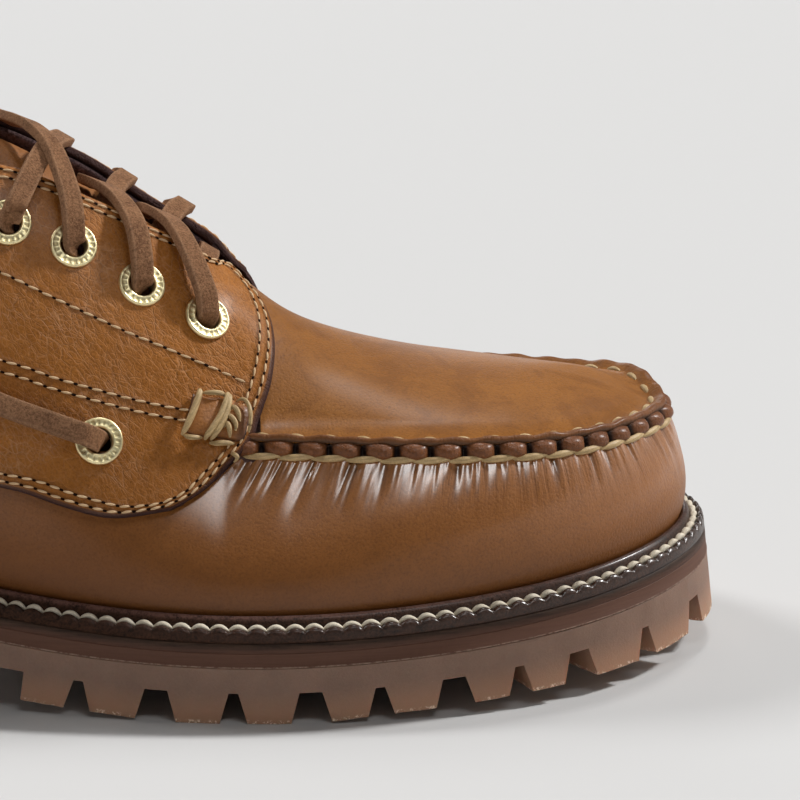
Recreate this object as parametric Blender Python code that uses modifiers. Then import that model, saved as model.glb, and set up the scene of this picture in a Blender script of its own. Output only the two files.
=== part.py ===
"""Camp moccasin, right shoe, men's EU 42.

A hand-sewn moccasin toe on a welted lug sole.  The toe points along +X, the outer
(lateral) side faces -Y and the floor is z = 0.  Tables and sizes are in millimetres;
mesh_object() turns them into metres.

The outline of the sole is a closed curve with one row of EDGE for each whole number u:
u = 0 is the back of the heel, u = 11 the tip of the toe, the lateral side lies between.
The upper is made of ribs, one for each u.  A rib runs from the welt (v = 0) up the side
wall to the moccasin seam (v = 1), then over the top of the foot (v = 2), where it ends
on the crown of the toe, on an edge of the throat or on the topline.
"""
import bpy
import bmesh
import numpy as np
from mathutils import Matrix, Vector

MM = 0.001
GAP = 0.3                  # clearance between neighbouring solids
OBJECT_NAME = "camp_moccasin"

# ---------------------------------------------------------------- driving dimensions
WALL = 2.0                 # upper leather
OVERLAY = 2.0              # eyestay and side panel leather
FEATHER_INSET = 6.4        # sole edge to the foot of the upper
TOE_INSET_CUT = 1.0        # the welt narrows by this much at the tip of the toe
WELT_THICK = 1.8
WELT_INNER = 15.0          # sole edge to the welt's inner edge
MIDSOLE_THICK = 1.6
BAND_THICK = 2.8
BODY_THICK = 5.2
LUG_DEPTH = 6.4
LUG_DRAFT = 0.29           # tangent of the lug walls' slant
HEEL_BREAST_X = -72.0
TREAD_START_X = 12.0
INSOLE_THICK = 3.0
TONGUE_THICK = 2.4
SEAM_RISE = 1.9            # moccasin seam above the plug
EYELET_OUTER = 4.8
EYELET_HOLE = 2.8
EYELET_BARREL = 3.2
EYELET_RIM = 0.6
LACE_WIDTH = 3.8
LACE_THICK = 2.2

# Sole edge seen from above: x, y for u = 0, 1, 2 ...
EDGE = (
    (-150, 0), (-138, -26), (-115, -36), (-80, -37), (-45, -37.5), (-10, -43),
    (20, -50.5), (55, -56), (90, -53), (116, -43.5), (138, -25.5), (150, 3),
    (143, 27), (125, 42), (100, 49.5), (70, 50.5), (35, 44), (0, 34),
    (-35, 30), (-75, 33), (-112, 35), (-138, 25.5),
)
TOE_U = 11
PERIOD = len(EDGE)

# Heights along the shoe: welt's upper face, floor side of the tread, crown of the foot.
LEDGE = ((-150, 33.5), (-110, 33), (-72, 31.5), (-30, 26.5), (0, 22.3), (25, 19.6),
         (50, 18.6), (75, 19.0), (100, 20.4), (125, 22.3), (150, 24.8))
TREAD = ((-10, 5.5), (12, 2.5), (26, 1.2), (42, 0), (66, 0), (85, 1.4), (101, 2.4),
         (118, 3.4), (138, 4.8), (150, 5.9))
CROWN = ((-30, 119), (-6, 112), (8, 107), (21, 100.5), (35, 89.8), (48, 80.6), (55, 75.3),
         (62, 69.8), (70, 65.9), (80, 63.0), (90, 60.9), (100, 59.4), (110, 58.2),
         (120, 56.9), (130, 54.5), (139, 50.6))
CROWN_Y = 2.0

# Ribs: u, seam point (x, y, z), end point (x, y, z), and three slopes in degrees:
# the wall's and the top's at the seam, and the top's at its end.  An end point on
# CROWN_Y takes its height from CROWN.
RIBS = (
    # u     sx      sy     sz     ex      ey       ez    wall  top  end
    (0, -146, 0, 56, -138.5, 0, 99, 93, 93, 75),
    (1, -134.5, -23.5, 56, -129, -17.5, 97, 90, 90, 78),
    (2, -113, -31.5, 56, -108, -25.5, 90, 86, 86, 80),
    (3, -79, -33, 55, -77, -27.5, 81.5, 82, 82, 78),
    (4, -45, -34, 53.5, -45, -26.5, 79.5, 80, 80, 72),
    (4.6, -25, -35, 52.5, -26, -20.5, 89, 76, 76, 62),
    (5, -11, -36.3, 52, -11, -13.5, 104.5, 72, 70, 52),
    (5.5, 4, -37.3, 51.7, 5, -9.8, 102.3, 68, 66, 46),
    (6, 20, -37.3, 51.2, 20, -9.3, 96.7, 66, 64, 46),
    (6.5, 37, -35.8, 50.2, 36.5, -9.3, 87, 62, 60, 42),
    (6.8, 47.5, -34.4, 49.4, 47, -6.8, 81.1, 58, 52, 30),
    (6.95, 52.5, -33.8, 49.1, 52, 2, 77.8, 56, 46, 5),
    (7.3, 64, -34.2, 48.8, 63, 2, 0, 50, 42, 0),
    (8, 87, -36.4, 48.7, 84, 2, 0, 48, 38, 0),
    (9, 111, -32.3, 48.1, 101, 2, 0, 50, 36, 0),
    (10, 130.3, -19.8, 47.2, 111, 2, 0, 56, 36, 0),
    (11, 142.6, 2, 46.8, 115, 2, 0, 64, 34, 0),
    (12, 137, 18.5, 49.4, 112, 2, 0, 60, 30, 0),
    (13, 121, 30, 50, 105, 2, 0, 54, 28, 0),
    (14, 98.5, 35.5, 50.3, 91, 2, 0, 50, 29, 0),
    (15, 71, 35.5, 51, 69, 2, 0, 50, 34, 0),
    (15.5, 53.5, 34.6, 51.5, 52, 2, 77.8, 54, 44, 5),
    (15.7, 47, 34, 51.7, 47, 10, 81.9, 60, 56, 25),
    (16, 37, 33.5, 52, 36.8, 11.5, 87.2, 64, 62, 40),
    (16.5, 20, 32.3, 52.5, 20, 12.5, 97.6, 68, 68, 46),
    (17, 3, 31, 53.5, 4, 13.5, 103, 72, 72, 52),
    (17.5, -14, 30, 54.3, -13, 16, 105.2, 76, 76, 58),
    (18, -35, 29.5, 55, -35, 22.5, 88.5, 80, 80, 72),
    (19, -75, 30.5, 56, -74, 26, 84, 84, 84, 78),
    (20, -110, 31, 56.5, -107, 25, 91, 88, 88, 80),
    (21, -134, 22.5, 56.5, -129, 17, 97.5, 90, 90, 78),
)
SEAM_RUN = (7.0, 7.25, 15.05, 15.3)      # u where the raised seam starts, is full, ends

# Columns of the upper and of every sole layer: runs of u as (start, step, count).  The
# 13 closed columns on each side of the toe meet in pairs on the crown.
COLUMN_RUNS = (
    (0, 0.4, 5), (2, 2 / 3, 3), (4, 1 / 3, 3), (5, 0.5, 3), (6.5, 0.25, 2), (7, 0.4, 5),
    (9, 1 / 3, 3), (10, 0.2, 10), (12, 0.5, 2), (13, 0.4, 7), (15.7, 0.3, 1),
    (16, 0.5, 3), (17.5, 1 / 3, 3), (18.5, 2 / 3, 3), (20.5, 0.5, 3),
)
COLUMNS = np.array([u + k * step for u, step, count in COLUMN_RUNS for k in range(count)])
TOE_COLUMN = int(np.argmin(abs(COLUMNS - TOE_U)))
CLOSED_PAIRS = 13
WALL_ROWS = (0, 0.22, 0.48, 0.76, 1.0)
SEAM_ROWS = ((0.6, 0.7), (2.2, 1.0), (4.2, 0.15))   # mm above the seam, share of the rise
TOP_ROWS = (0.2, 0.45, 0.72, 1.0)                  # share of the way from seam to end


# ---------------------------------------------------------------- curves
def natural_spline(points):
    """Smooth curve through (x, y) points; called with x, or x and 1 for its slope."""
    x, y = np.array(points, float).T
    n = len(x)
    h = np.diff(x)
    lhs = np.eye(n)
    rhs = np.zeros(n)
    for i in range(1, n - 1):
        lhs[i, i - 1:i + 2] = h[i - 1], 2 * (h[i - 1] + h[i]), h[i]
        rhs[i] = 6 * ((y[i + 1] - y[i]) / h[i] - (y[i] - y[i - 1]) / h[i - 1])
    m = np.linalg.solve(lhs, rhs)

    def curve(at, slope=0):
        at = np.clip(np.asarray(at, float), x[0], x[-1])
        i = np.clip(np.searchsorted(x, at) - 1, 0, n - 2)
        a, b = x[i + 1] - at, at - x[i]
        left = y[i] / h[i] - m[i] * h[i] / 6
        right = y[i + 1] / h[i] - m[i + 1] * h[i] / 6
        if slope:
            return (m[i + 1] * b ** 2 - m[i] * a ** 2) / (2 * h[i]) - left + right
        return (m[i] * a ** 3 + m[i + 1] * b ** 3) / (6 * h[i]) + left * a + right * b
    return curve


def keyed_curve(rows, period=None):
    """Curve through rows of (key, values ...) that never overshoots them."""
    rows = np.array(rows, float)
    key, value = rows[:, 0], rows[:, 1:]
    if period:
        key = np.concatenate([key - period, key, key + period])
        value = np.vstack([value] * 3)
    h = np.diff(key)[:, None]
    d = np.diff(value, axis=0) / h
    before, after = h[1:] + 2 * h[:-1], 2 * h[1:] + h[:-1]
    rising = d[:-1] * d[1:] > 0
    with np.errstate(divide="ignore", invalid="ignore"):
        mean = (before + after) / (after / d[:-1] + before / d[1:])
    m = np.zeros_like(value)
    m[1:-1] = np.where(rising, mean, 0)

    def curve(at):
        at = np.atleast_1d(np.asarray(at, float))
        i = np.clip(np.searchsorted(key, at, side="right") - 1, 0, len(key) - 2)
        span = h[i]
        t = (at[:, None] - key[i][:, None]) / span
        t = np.clip(t, 0, 1)
        ends = value[i] * (1 + 2 * t) * (1 - t) ** 2 + value[i + 1] * t * t * (3 - 2 * t)
        return ends + span * t * (1 - t) * (m[i] * (1 - t) - m[i + 1] * t)
    return curve


def closed_curve(points):
    """Smooth closed curve through (x, y) points; called with u, gives points and tangents."""
    p = np.array(points, float)
    n = len(p)
    h = np.linalg.norm(np.roll(p, -1, 0) - p, axis=1) ** 0.75
    lhs = np.zeros((n, n))
    rhs = np.zeros((n, 2))
    for i in range(n):
        j = (i + 1) % n
        lhs[i, i - 1] += h[i - 1]
        lhs[i, i] += 2 * (h[i - 1] + h[i])
        lhs[i, j] += h[i]
        rhs[i] = 6 * ((p[j] - p[i]) / h[i] - (p[i] - p[i - 1]) / h[i - 1])
    m = np.linalg.solve(lhs, rhs)

    def curve(u):
        u = np.asarray(u, float) % n
        i = np.minimum(u.astype(int), n - 1)
        j = (i + 1) % n
        span = h[i][:, None]
        b = (u - i)[:, None] * span
        a = span - b
        left = p[i] / span - m[i] * span / 6
        right = p[j] / span - m[j] * span / 6
        point = (m[i] * a ** 3 + m[j] * b ** 3) / (6 * span) + left * a + right * b
        tangent = (m[j] * b ** 2 - m[i] * a ** 2) / (2 * span) - left + right
        return point, tangent / np.linalg.norm(tangent, axis=1)[:, None]
    return curve


sole_edge = closed_curve(EDGE)
ledge = natural_spline(LEDGE)
crown = natural_spline(CROWN)
rib_values = keyed_curve(RIBS, PERIOD)
tread_values = keyed_curve(TREAD)


def tread(x):
    return tread_values(x)[:, 0]


def unit(v):
    return v / np.linalg.norm(v, axis=-1, keepdims=True)


def bezier(a, b, c, d, t):
    return a * (1 - t) ** 3 + 3 * b * t * (1 - t) ** 2 + 3 * c * t * t * (1 - t) + d * t ** 3


# ---------------------------------------------------------------- sole rings
def edge_inset(u, inset):
    """Points inset from the sole's edge, in plan; the insets shrink a little at the toe."""
    point, tangent = sole_edge(u)
    outward = np.column_stack([tangent[:, 1], -tangent[:, 0]])
    toe = np.clip((point[:, 0] - 110) / 40, 0, 1)
    narrow = 1 - toe * TOE_INSET_CUT / FEATHER_INSET
    return point - outward * (inset * narrow)[:, None], outward


def sole_ring(u, inset, depth):
    """Points at a depth below the welt's upper face, square to the sole."""
    plan, _ = edge_inset(u, np.full(len(u), float(inset)))
    slope = ledge(plan[:, 0], 1)
    normal = unit(np.column_stack([-slope, np.zeros(len(u)), np.ones(len(u))]))
    return np.column_stack([plan, ledge(plan[:, 0])]) - normal * depth


# ---------------------------------------------------------------- the upper's surface
def rib_frame(u, pair_ends=False):
    """Control points of the ribs at each u, as a dictionary of arrays."""
    value = rib_values(u)
    seam, end = value[:, 0:3].copy(), value[:, 3:6].copy()
    wall_slope, top_slope, end_slope = np.radians(value[:, 6:9]).T
    if pair_ends:
        for k in range(1, CLOSED_PAIRS + 1):
            pair = [TOE_COLUMN - k, TOE_COLUMN + k]
            end[pair] = end[pair].mean(axis=0)
    closed = abs(end[:, 1] - CROWN_Y) < 0.01
    end[closed, 2] = crown(end[closed, 0])
    foot_plan, outward = edge_inset(u, np.full(len(u), FEATHER_INSET))
    foot = np.column_stack([foot_plan, ledge(foot_plan[:, 0]) + GAP])
    out = np.column_stack([outward, np.zeros(len(u))])
    up = np.array([0, 0, 1.0])
    inward = unit((end - seam) * (1, 1, 0))
    rise = (seam[:, 2] - foot[:, 2])[:, None]
    wall_dir = inward * np.cos(wall_slope)[:, None] + up * np.sin(wall_slope)[:, None]
    top_dir = inward * np.cos(top_slope)[:, None] + up * np.sin(top_slope)[:, None]
    end_rise = np.where(closed, crown(end[:, 0], 1) * inward[:, 0], np.tan(end_slope))
    end_dir = unit(inward + up * end_rise[:, None])
    length = np.linalg.norm(end - seam, axis=1)[:, None]
    seam_on = np.interp(u, SEAM_RUN, (0, 1, 1, 0))
    return {
        "foot": foot, "low": foot + out * 3.4 + up * 0.3 * rise,
        "high": seam - wall_dir * 0.3 * rise / np.sin(wall_slope)[:, None], "seam": seam,
        "start": seam + top_dir * length * 0.34, "stop": end - end_dir * length * 0.36,
        "end": end, "length": length, "closed": closed, "seam_on": seam_on,
        "seam_normal": up * np.cos(top_slope)[:, None] - inward * np.sin(top_slope)[:, None],
    }


def rib_rows(frame):
    """The upper's grid of points, as an array of rows x columns x 3."""
    rows = [bezier(frame["foot"], frame["low"], frame["high"], frame["seam"], v)
            for v in WALL_ROWS]
    top = (frame["seam"], frame["start"], frame["stop"], frame["end"])
    for along, share in SEAM_ROWS:
        rise = SEAM_RISE * share * frame["seam_on"][:, None]
        rows.append(bezier(*top, along / frame["length"]) + frame["seam_normal"] * rise)
    last = SEAM_ROWS[-1][0] / frame["length"]
    for share in TOP_ROWS:
        rows.append(bezier(*top, last + (1 - last) * share))
    return np.array(rows)


def grid_normals(grid, ring):
    """Outward normals of a grid whose columns run round the shoe."""
    if ring:
        along = np.roll(grid, -1, 1) - np.roll(grid, 1, 1)
    else:
        along = np.gradient(grid, axis=1)
    return unit(np.cross(along, np.gradient(grid, axis=0)))


def upper_place(u, v, lift):
    """Point, outward normal and direction of growing u on the upper; v as for the ribs."""
    step = 0.02
    frame = rib_frame(np.array([u - step, u, u + step]))

    def at(height):
        if height <= 1:
            return bezier(frame["foot"], frame["low"], frame["high"], frame["seam"], height)
        return bezier(frame["seam"], frame["start"], frame["stop"], frame["end"], height - 1)
    points = at(v)
    along = unit(points[2] - points[0])
    normal = unit(np.cross(along, at(v + step)[1] - at(v - step)[1]))
    return points[1] + normal * lift, normal, along


# ---------------------------------------------------------------- Blender helpers
def clear_scene():
    for item in list(bpy.data.objects):
        bpy.data.objects.remove(item, do_unlink=True)


def new_collection(name):
    collection = bpy.data.collections.new(name)
    bpy.context.scene.collection.children.link(collection)
    return collection


def leather(name, colour, roughness, metallic=0.0):
    material = bpy.data.materials.new(name)
    material.use_nodes = True
    shader = material.node_tree.nodes["Principled BSDF"]
    shader.inputs["Base Color"].default_value = (*colour, 1)
    shader.inputs["Roughness"].default_value = roughness
    shader.inputs["Metallic"].default_value = metallic
    return material


def mesh_object(name, points, faces, material=None):
    """Closed mesh from points in millimetres, faces outward; a cutter if it has no material."""
    mesh = bpy.data.meshes.new(name)
    mesh.from_pydata([Vector(p) * MM for p in np.asarray(points, float)], [], faces)
    work = bmesh.new()
    work.from_mesh(mesh)
    bmesh.ops.remove_doubles(work, verts=work.verts, dist=0.001 * MM)
    bmesh.ops.recalc_face_normals(work, faces=work.faces)
    work.to_mesh(mesh)
    work.free()
    item = bpy.data.objects.new(name, mesh)
    item.parent = ORIGIN
    if material:
        mesh.materials.append(material)
        PARTS.objects.link(item)
    else:
        keep_as_cutter(item)
    return item


def keep_as_cutter(item):
    """Moves an object to the cutters, drawn as wire and left out of the part."""
    for collection in list(item.users_collection):
        collection.objects.unlink(item)
    CUTTERS.objects.link(item)
    item.parent = ORIGIN
    item.hide_render = True
    item.display_type = "WIRE"


def boolean(item, cutter, operation):
    modifier = item.modifiers.new(f"{operation.lower()} {cutter.name}", "BOOLEAN")
    modifier.object = cutter
    modifier.operation = operation
    modifier.solver = "EXACT"


def ring_faces(first, second, count, closed=True):
    """Quads between two rings of point numbers."""
    last = count if closed else count - 1
    return [(first + i, first + (i + 1) % count, second + (i + 1) % count, second + i)
            for i in range(last)]


def cap_faces(points, start, toe):
    """Triangles across a ring, laced from the heel to the toe by their x."""
    count = len(points)
    left = list(range(0, toe + 1))
    right = [0] + list(range(count - 1, toe - 1, -1))
    faces = []
    i = j = 0
    while i < len(left) - 1 or j < len(right) - 1:
        step_left = j == len(right) - 1 or (
            i < len(left) - 1 and points[left[i + 1]][0] <= points[right[j + 1]][0])
        a, b = left[i], right[j]
        if step_left:
            i += 1
            c = left[i]
        else:
            j += 1
            c = right[j]
        if len({a, b, c}) == 3:
            faces.append((start + a, start + b, start + c))
    return faces


def stacked_rings(name, rings, material, toe):
    """Solid of rings piled up from the lowest, closed by a cap below and above."""
    count = len(rings[0])
    faces = cap_faces(rings[0], 0, toe)
    for k in range(len(rings) - 1):
        faces += ring_faces(k * count, (k + 1) * count, count)
    faces += cap_faces(rings[-1], (len(rings) - 1) * count, toe)
    return mesh_object(name, np.vstack(rings), faces, material)


def shell(name, outer, inner, material, ring, closed=None):
    """Wall between two grids of rows x columns; closed columns share their last point.

    All quads are split along the same diagonal, which keeps neighbouring shells parallel.
    """
    rows, columns = outer.shape[:2]
    size = rows * columns
    faces = []
    for k in range(rows - 1):
        for base in (0, size):
            for a, b, c, d in ring_faces(base + k * columns, base + (k + 1) * columns,
                                         columns, ring):
                faces += [(a, b, c), (a, c, d)]
    faces += ring_faces(0, size, columns, ring)
    top = (rows - 1) * columns
    for face in ring_faces(top, size + top, columns, ring):
        here, there = face[0] - top, face[1] - top
        if closed is None or not (closed[here] and closed[there]):
            faces.append(face)
    if not ring:
        for edge in (0, columns - 1):
            faces += [(k * columns + edge, (k + 1) * columns + edge,
                       size + (k + 1) * columns + edge, size + k * columns + edge)
                      for k in range(rows - 1)]
    points = np.vstack([outer.reshape(-1, 3), inner.reshape(-1, 3)])
    return mesh_object(name, points, faces, material)


def prism(name, outline, origin, axes, depths):
    """Cutter: an outline of (a, b) on two axes, drawn out along the third."""
    first, second, third = (np.array(axis, float) for axis in axes)
    points = [np.array(origin) + first * a + second * b + third * depth
              for depth in depths for a, b in outline]
    count = len(outline)
    faces = [tuple(range(count)), tuple(range(2 * count - 1, count - 1, -1))]
    faces += ring_faces(0, count, count)
    return mesh_object(name, points, faces)


# ---------------------------------------------------------------- the sole
LEDGE_TO_MIDSOLE = WELT_THICK + GAP
LEDGE_TO_BAND = LEDGE_TO_MIDSOLE + MIDSOLE_THICK + GAP
LEDGE_TO_BODY = LEDGE_TO_BAND + BAND_THICK + GAP
LEDGE_TO_BODY_END = LEDGE_TO_BODY + BODY_THICK
LEDGE_TO_FLOOR = LEDGE_TO_BODY_END + LUG_DEPTH
FLOOR_MARGIN = 12.0        # how far cutters reach past what they cut

# Welt section: inset from the edge and height over the ledge, with the rolled storm lip.
WELT_SECTION = ((0, -WELT_THICK), (0, 0), (3.2, 0), (3.6, 1.9), (4.3, 2.6), (5.1, 2.4),
                (5.75, 1.1), (6.0, 0), (WELT_INNER, 0), (WELT_INNER, -WELT_THICK))

# Tread grooves: x at the edge and width at the root; the wide ones run right across.
NARROW, WIDE = 1.9, 4.5
GROOVES = ((24, NARROW), (39, WIDE), (54, NARROW), (69, WIDE), (82.5, NARROW), (97, WIDE),
           (110, NARROW), (122, WIDE), (135.5, NARROW), (146, WIDE))
GROOVE_LENGTH = 20.0
HEEL_GROOVES = ((-88, WIDE), (-104, NARROW), (-119, WIDE), (-134, NARROW))


def make_welt(material):
    rings = [sole_ring(COLUMNS, inset, -height) for inset, height in WELT_SECTION]
    count = len(COLUMNS)
    faces = []
    for k in range(len(rings)):
        faces += ring_faces(k * count, (k + 1) % len(rings) * count, count)
    mesh_object("welt", np.vstack(rings), faces, material)


def make_sole_layers(materials):
    def ring(inset, depth):
        return sole_ring(COLUMNS, inset, depth)
    pad = WELT_INNER + GAP
    stacked_rings("leather_midsole", [
        ring(0, LEDGE_TO_BAND - GAP), ring(0, LEDGE_TO_MIDSOLE),
        ring(pad, LEDGE_TO_MIDSOLE), ring(pad, 0)], materials["midsole"], TOE_COLUMN)
    stacked_rings("rubber_midsole", [
        ring(0, LEDGE_TO_BODY - GAP), ring(0, LEDGE_TO_BAND)],
        materials["band"], TOE_COLUMN)
    insole_inset = FEATHER_INSET + WALL + 0.6
    stacked_rings("insole", [
        ring(insole_inset, -GAP), ring(insole_inset, -GAP - INSOLE_THICK)],
        materials["insole"], TOE_COLUMN)


def groove_cutter(name, columns_u, width, length):
    """Wedge that opens toward the floor, from outside the edge inward."""
    plan, outward = edge_inset(np.array([columns_u]), np.zeros(1))
    x, y = plan[0]
    inward = -outward[0] if x > 100 else np.array([0, -np.sign(y)])
    slope = float(ledge(x, 1))
    normal = unit(np.array([-slope, 0, 1]))
    along = unit(np.array([inward[0], inward[1], inward[0] * slope]))
    across = np.cross(normal, along)
    root = np.array([x, y, float(ledge(x))]) - normal * LEDGE_TO_BODY_END
    half, deep = width / 2, LUG_DEPTH + FLOOR_MARGIN / 2
    flare = half + deep * LUG_DRAFT
    outline = ((-half, 0), (half, 0), (flare, -deep), (-flare, -deep))
    return prism(name, outline, root, (across, normal, along), (-6, length))


def edge_u(x, lateral):
    """The u whose edge point has this x, on one side of the shoe."""
    u = np.linspace(0, TOE_U, 600) if lateral else np.linspace(PERIOD, TOE_U, 600)
    points, _ = sole_edge(u)
    return float(np.interp(x, points[:, 0], u))


def waist_cutter():
    """Everything below the sole's body behind the tread."""
    stations = np.linspace(-165, TREAD_START_X, 14)
    slope = ledge(stations, 1)
    top = ledge(stations) - LEDGE_TO_BODY_END * np.sqrt(1 + slope ** 2)
    below = -FLOOR_MARGIN
    lean = (top[-1] - below) * LUG_DRAFT
    outline = [(x, z) for x, z in zip(stations, top)]
    outline += [(stations[-1] - lean + FLOOR_MARGIN * LUG_DRAFT, below), (stations[0], below)]
    return prism("cut_waist", outline, (0, 0, 0), ((1, 0, 0), (0, 0, 1), (0, 1, 0)),
                 (-80, 80))


def make_outsole(material):
    top = sole_ring(COLUMNS, 0, LEDGE_TO_BODY)
    root = sole_ring(COLUMNS, 0, LEDGE_TO_BODY_END)
    floor = sole_ring(COLUMNS, 0, LEDGE_TO_FLOOR)
    floor[:, 2] = tread(floor[:, 0])
    outsole = stacked_rings("outsole", [floor, root, top], material, TOE_COLUMN)
    boolean(outsole, waist_cutter(), "DIFFERENCE")
    for number, (x, width) in enumerate(GROOVES, 1):
        name = f"cut_groove_{number}"
        lateral, medial = edge_u(x, True), edge_u(x, False)
        if width == WIDE and x < 100:
            full_width = sole_edge(np.array([lateral, medial]))[0][:, 1].ptp()
            boolean(outsole, groove_cutter(name, lateral, width, full_width + 6), "DIFFERENCE")
            continue
        for side, u in (("lateral", lateral), ("medial", medial)):
            cutter = groove_cutter(f"{name}_{side}", u, width, GROOVE_LENGTH)
            boolean(outsole, cutter, "DIFFERENCE")


def make_heel(material):
    """Separate heel block: its sides carry on the sole's edge, its breast is straight."""
    u = np.concatenate([np.linspace(edge_u(HEEL_BREAST_X, False), PERIOD, 12)[:-1],
                        np.linspace(0, edge_u(HEEL_BREAST_X, True), 12)])
    plan, _ = sole_edge(u)
    slope = ledge(plan[:, 0], 1)
    top = ledge(plan[:, 0]) - (LEDGE_TO_BODY_END + GAP) * np.sqrt(1 + slope ** 2) - 0.05
    count = len(u)
    lower = np.column_stack([plan[:, 0] * 1.005, plan[:, 1], np.zeros(count)])
    upper = np.column_stack([plan, top])
    faces = [tuple(range(count)), tuple(range(2 * count - 1, count - 1, -1))]
    faces += ring_faces(0, count, count)
    heel = mesh_object("heel", np.vstack([lower, upper]), faces, material)
    for number, (x, width) in enumerate(HEEL_GROOVES, 1):
        half, flare = width / 2, width / 2 + (LUG_DEPTH + FLOOR_MARGIN) * LUG_DRAFT
        outline = ((-half, LUG_DEPTH), (half, LUG_DEPTH), (flare, -FLOOR_MARGIN),
                   (-flare, -FLOOR_MARGIN))
        cutter = prism(f"cut_heel_{number}", outline, (x, 0, 0),
                       ((1, 0, 0), (0, 0, 1), (0, 1, 0)), (-60, 60))
        boolean(heel, cutter, "DIFFERENCE")


# ---------------------------------------------------------------- the upper
def upper_grid():
    """The upper's outer grid, its normals, and which columns close on the crown."""
    frame = rib_frame(COLUMNS, pair_ends=True)
    grid = rib_rows(frame)
    closed = frame["closed"]
    slope = crown(grid[-1, closed, 0], 1)
    with np.errstate(invalid="ignore"):
        normals = grid_normals(grid, ring=True)
    normals[-1, closed] = unit(np.column_stack([-slope, 0 * slope, 1 + 0 * slope]))
    return grid, normals, closed


def make_upper(grid, normals, closed, material):
    shell("upper", grid, grid - normals * WALL, material, True, closed)


def column(u):
    """Number of the column nearest to u."""
    return int(np.argmin(abs(COLUMNS - u)))


# The tongue lies under the throat: pairs of columns, lateral and medial, from its free
# end down to where it is stitched under the plug, and rows counted from the top.
TONGUE_COLUMNS = ((5, 17.5), (5.5, 17), (6, 16.5), (6.5, 16), (6.75, 15.7), (7, 15.4),
                  (7.4, 15.0), (7.8, 14.6))
TONGUE_ROWS = (-3, -2, -1)
TONGUE_TUCK = 1.5                # it lies this much deeper where the throat has closed
TONGUE_END = ((4, 1.5, 0.8, 0.9), (13, 7, 0.62, 0.6), (23, 14, 0.4, 0.3))   # mm back and up, width, arch


def make_tongue(grid, normals, closed, material):
    """A curved sheet under the throat's edges, its free end rounded."""
    sections = []
    for lateral, medial in TONGUE_COLUMNS:
        near, far = column(lateral), column(medial)
        lift = WALL + GAP + TONGUE_TUCK * closed[near]
        left = [grid[row, near] - normals[row, near] * lift for row in TONGUE_ROWS]
        right = [grid[row, far] - normals[row, far] * lift for row in reversed(TONGUE_ROWS)]
        if closed[near]:
            top = left[-1]
            section = left[:-1] + [(left[-2] + top) / 2, top, (top + right[1]) / 2] + right[1:]
        else:
            rise = 0.05 * np.linalg.norm(right[0] - left[-1])
            middle = (left[-1] + right[0]) / 2 + np.array([0, 0, rise])
            section = left + [middle] + right
        sections.append(np.array(section))
    last = sections[0]
    middle = last[3]
    for back, up, width, arch in TONGUE_END:
        moved = middle + (last - middle) * (1, width, arch) + np.array([-back, 0, up])
        sections.insert(0, moved)
    outer = np.array(sections).transpose(1, 0, 2)
    shell("tongue", outer, outer - grid_normals(outer, ring=False) * TONGUE_THICK,
          material, False)


# ---------------------------------------------------------------- overlays and eyelets
# Outlines of the eyestay and the side panel as seen leaning LEAN degrees upward from
# the side: x, and distance up the view from the floor's line.
LEAN = np.radians(30)
EYESTAY_FRONT = {
    "lateral": ((58.4, 31.8), (59.3, 35), (60.9, 40), (61.9, 46), (62, 52), (60.4, 59),
                (56.8, 64.5), (50.5, 68.3), (44, 76)),
    "medial": ((58.4, 31.8), (59.3, 35), (59.8, 41), (58.8, 47), (57.4, 53), (56.2, 58),
               (55.2, 62), (52, 67), (44, 76)),
}
PANEL_LINE = ((58.2, 31.5), (43.3, 31.5), (25, 35.5), (7, 40.7), (-25, 49.5), (-45, 58))
PANEL_FRONT = ((-150, 52), (-140, 40), (-120, 34), (-85, 28.5), (-50, 25.5), (-20, 21.8),
               (7.5, 17.8), (16, 15.3), (24.6, 12.6), (31.3, 11.8), (41.7, 13.8),
               (48.6, 18.3), (53.4, 23.9), (57, 28))
# The strip of the upper that each is cut from: first row, and the run of u on each side.
OVERLAY_SPANS = {"eyestay": (5, {"lateral": (4, 7.8), "medial": (14.2, 18.3)}),
                 "side_panel": (1, {"lateral": (0, 7.4), "medial": (15, PERIOD)})}
TOPLINE_NOTCH = (-60, 110)       # the line between the two runs up here, past the topline
OUTER_LIFT = GAP + OVERLAY

# Eyelets as u, v on each side; E1 is nearest the toe.
EYELETS = {
    "lateral": ((6.80, 1.673), (6.435, 1.741), (6.03, 1.784), (5.61, 1.794)),
    "medial": ((15.68, 1.70), (16.05, 1.75), (16.44, 1.785), (16.83, 1.795)),
}
SIDE_EYELETS = {"lateral": ((6.206, 1.031), (4.78, 1.30)),
                "medial": ((16.28, 1.04), (17.62, 1.22))}


def smooth_run(points, steps):
    """Points on a smooth open curve through the given ones."""
    points = np.array(points, float)
    key = np.arange(len(points))
    at = np.linspace(0, len(points) - 1, (len(points) - 1) * steps + 1)
    return np.column_stack([natural_spline(np.column_stack([key, column]))(at)
                            for column in points.T])


def overlay_outlines(side):
    """Closed outlines of the eyestay and of the side panel, GAP apart."""
    front = [tuple(p) for p in smooth_run(EYESTAY_FRONT[side], 2)]
    line = [(x, up - GAP) for x, up in PANEL_LINE]
    eyestay = front + [(40, 110), TOPLINE_NOTCH] + list(reversed(PANEL_LINE))
    panel = [tuple(p) for p in smooth_run(PANEL_FRONT, 2)] + line
    panel += [(TOPLINE_NOTCH[0] - GAP, TOPLINE_NOTCH[1]), (-170, 110), (-170, 52)]
    return {"eyestay": eyestay, "side_panel": panel}


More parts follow.
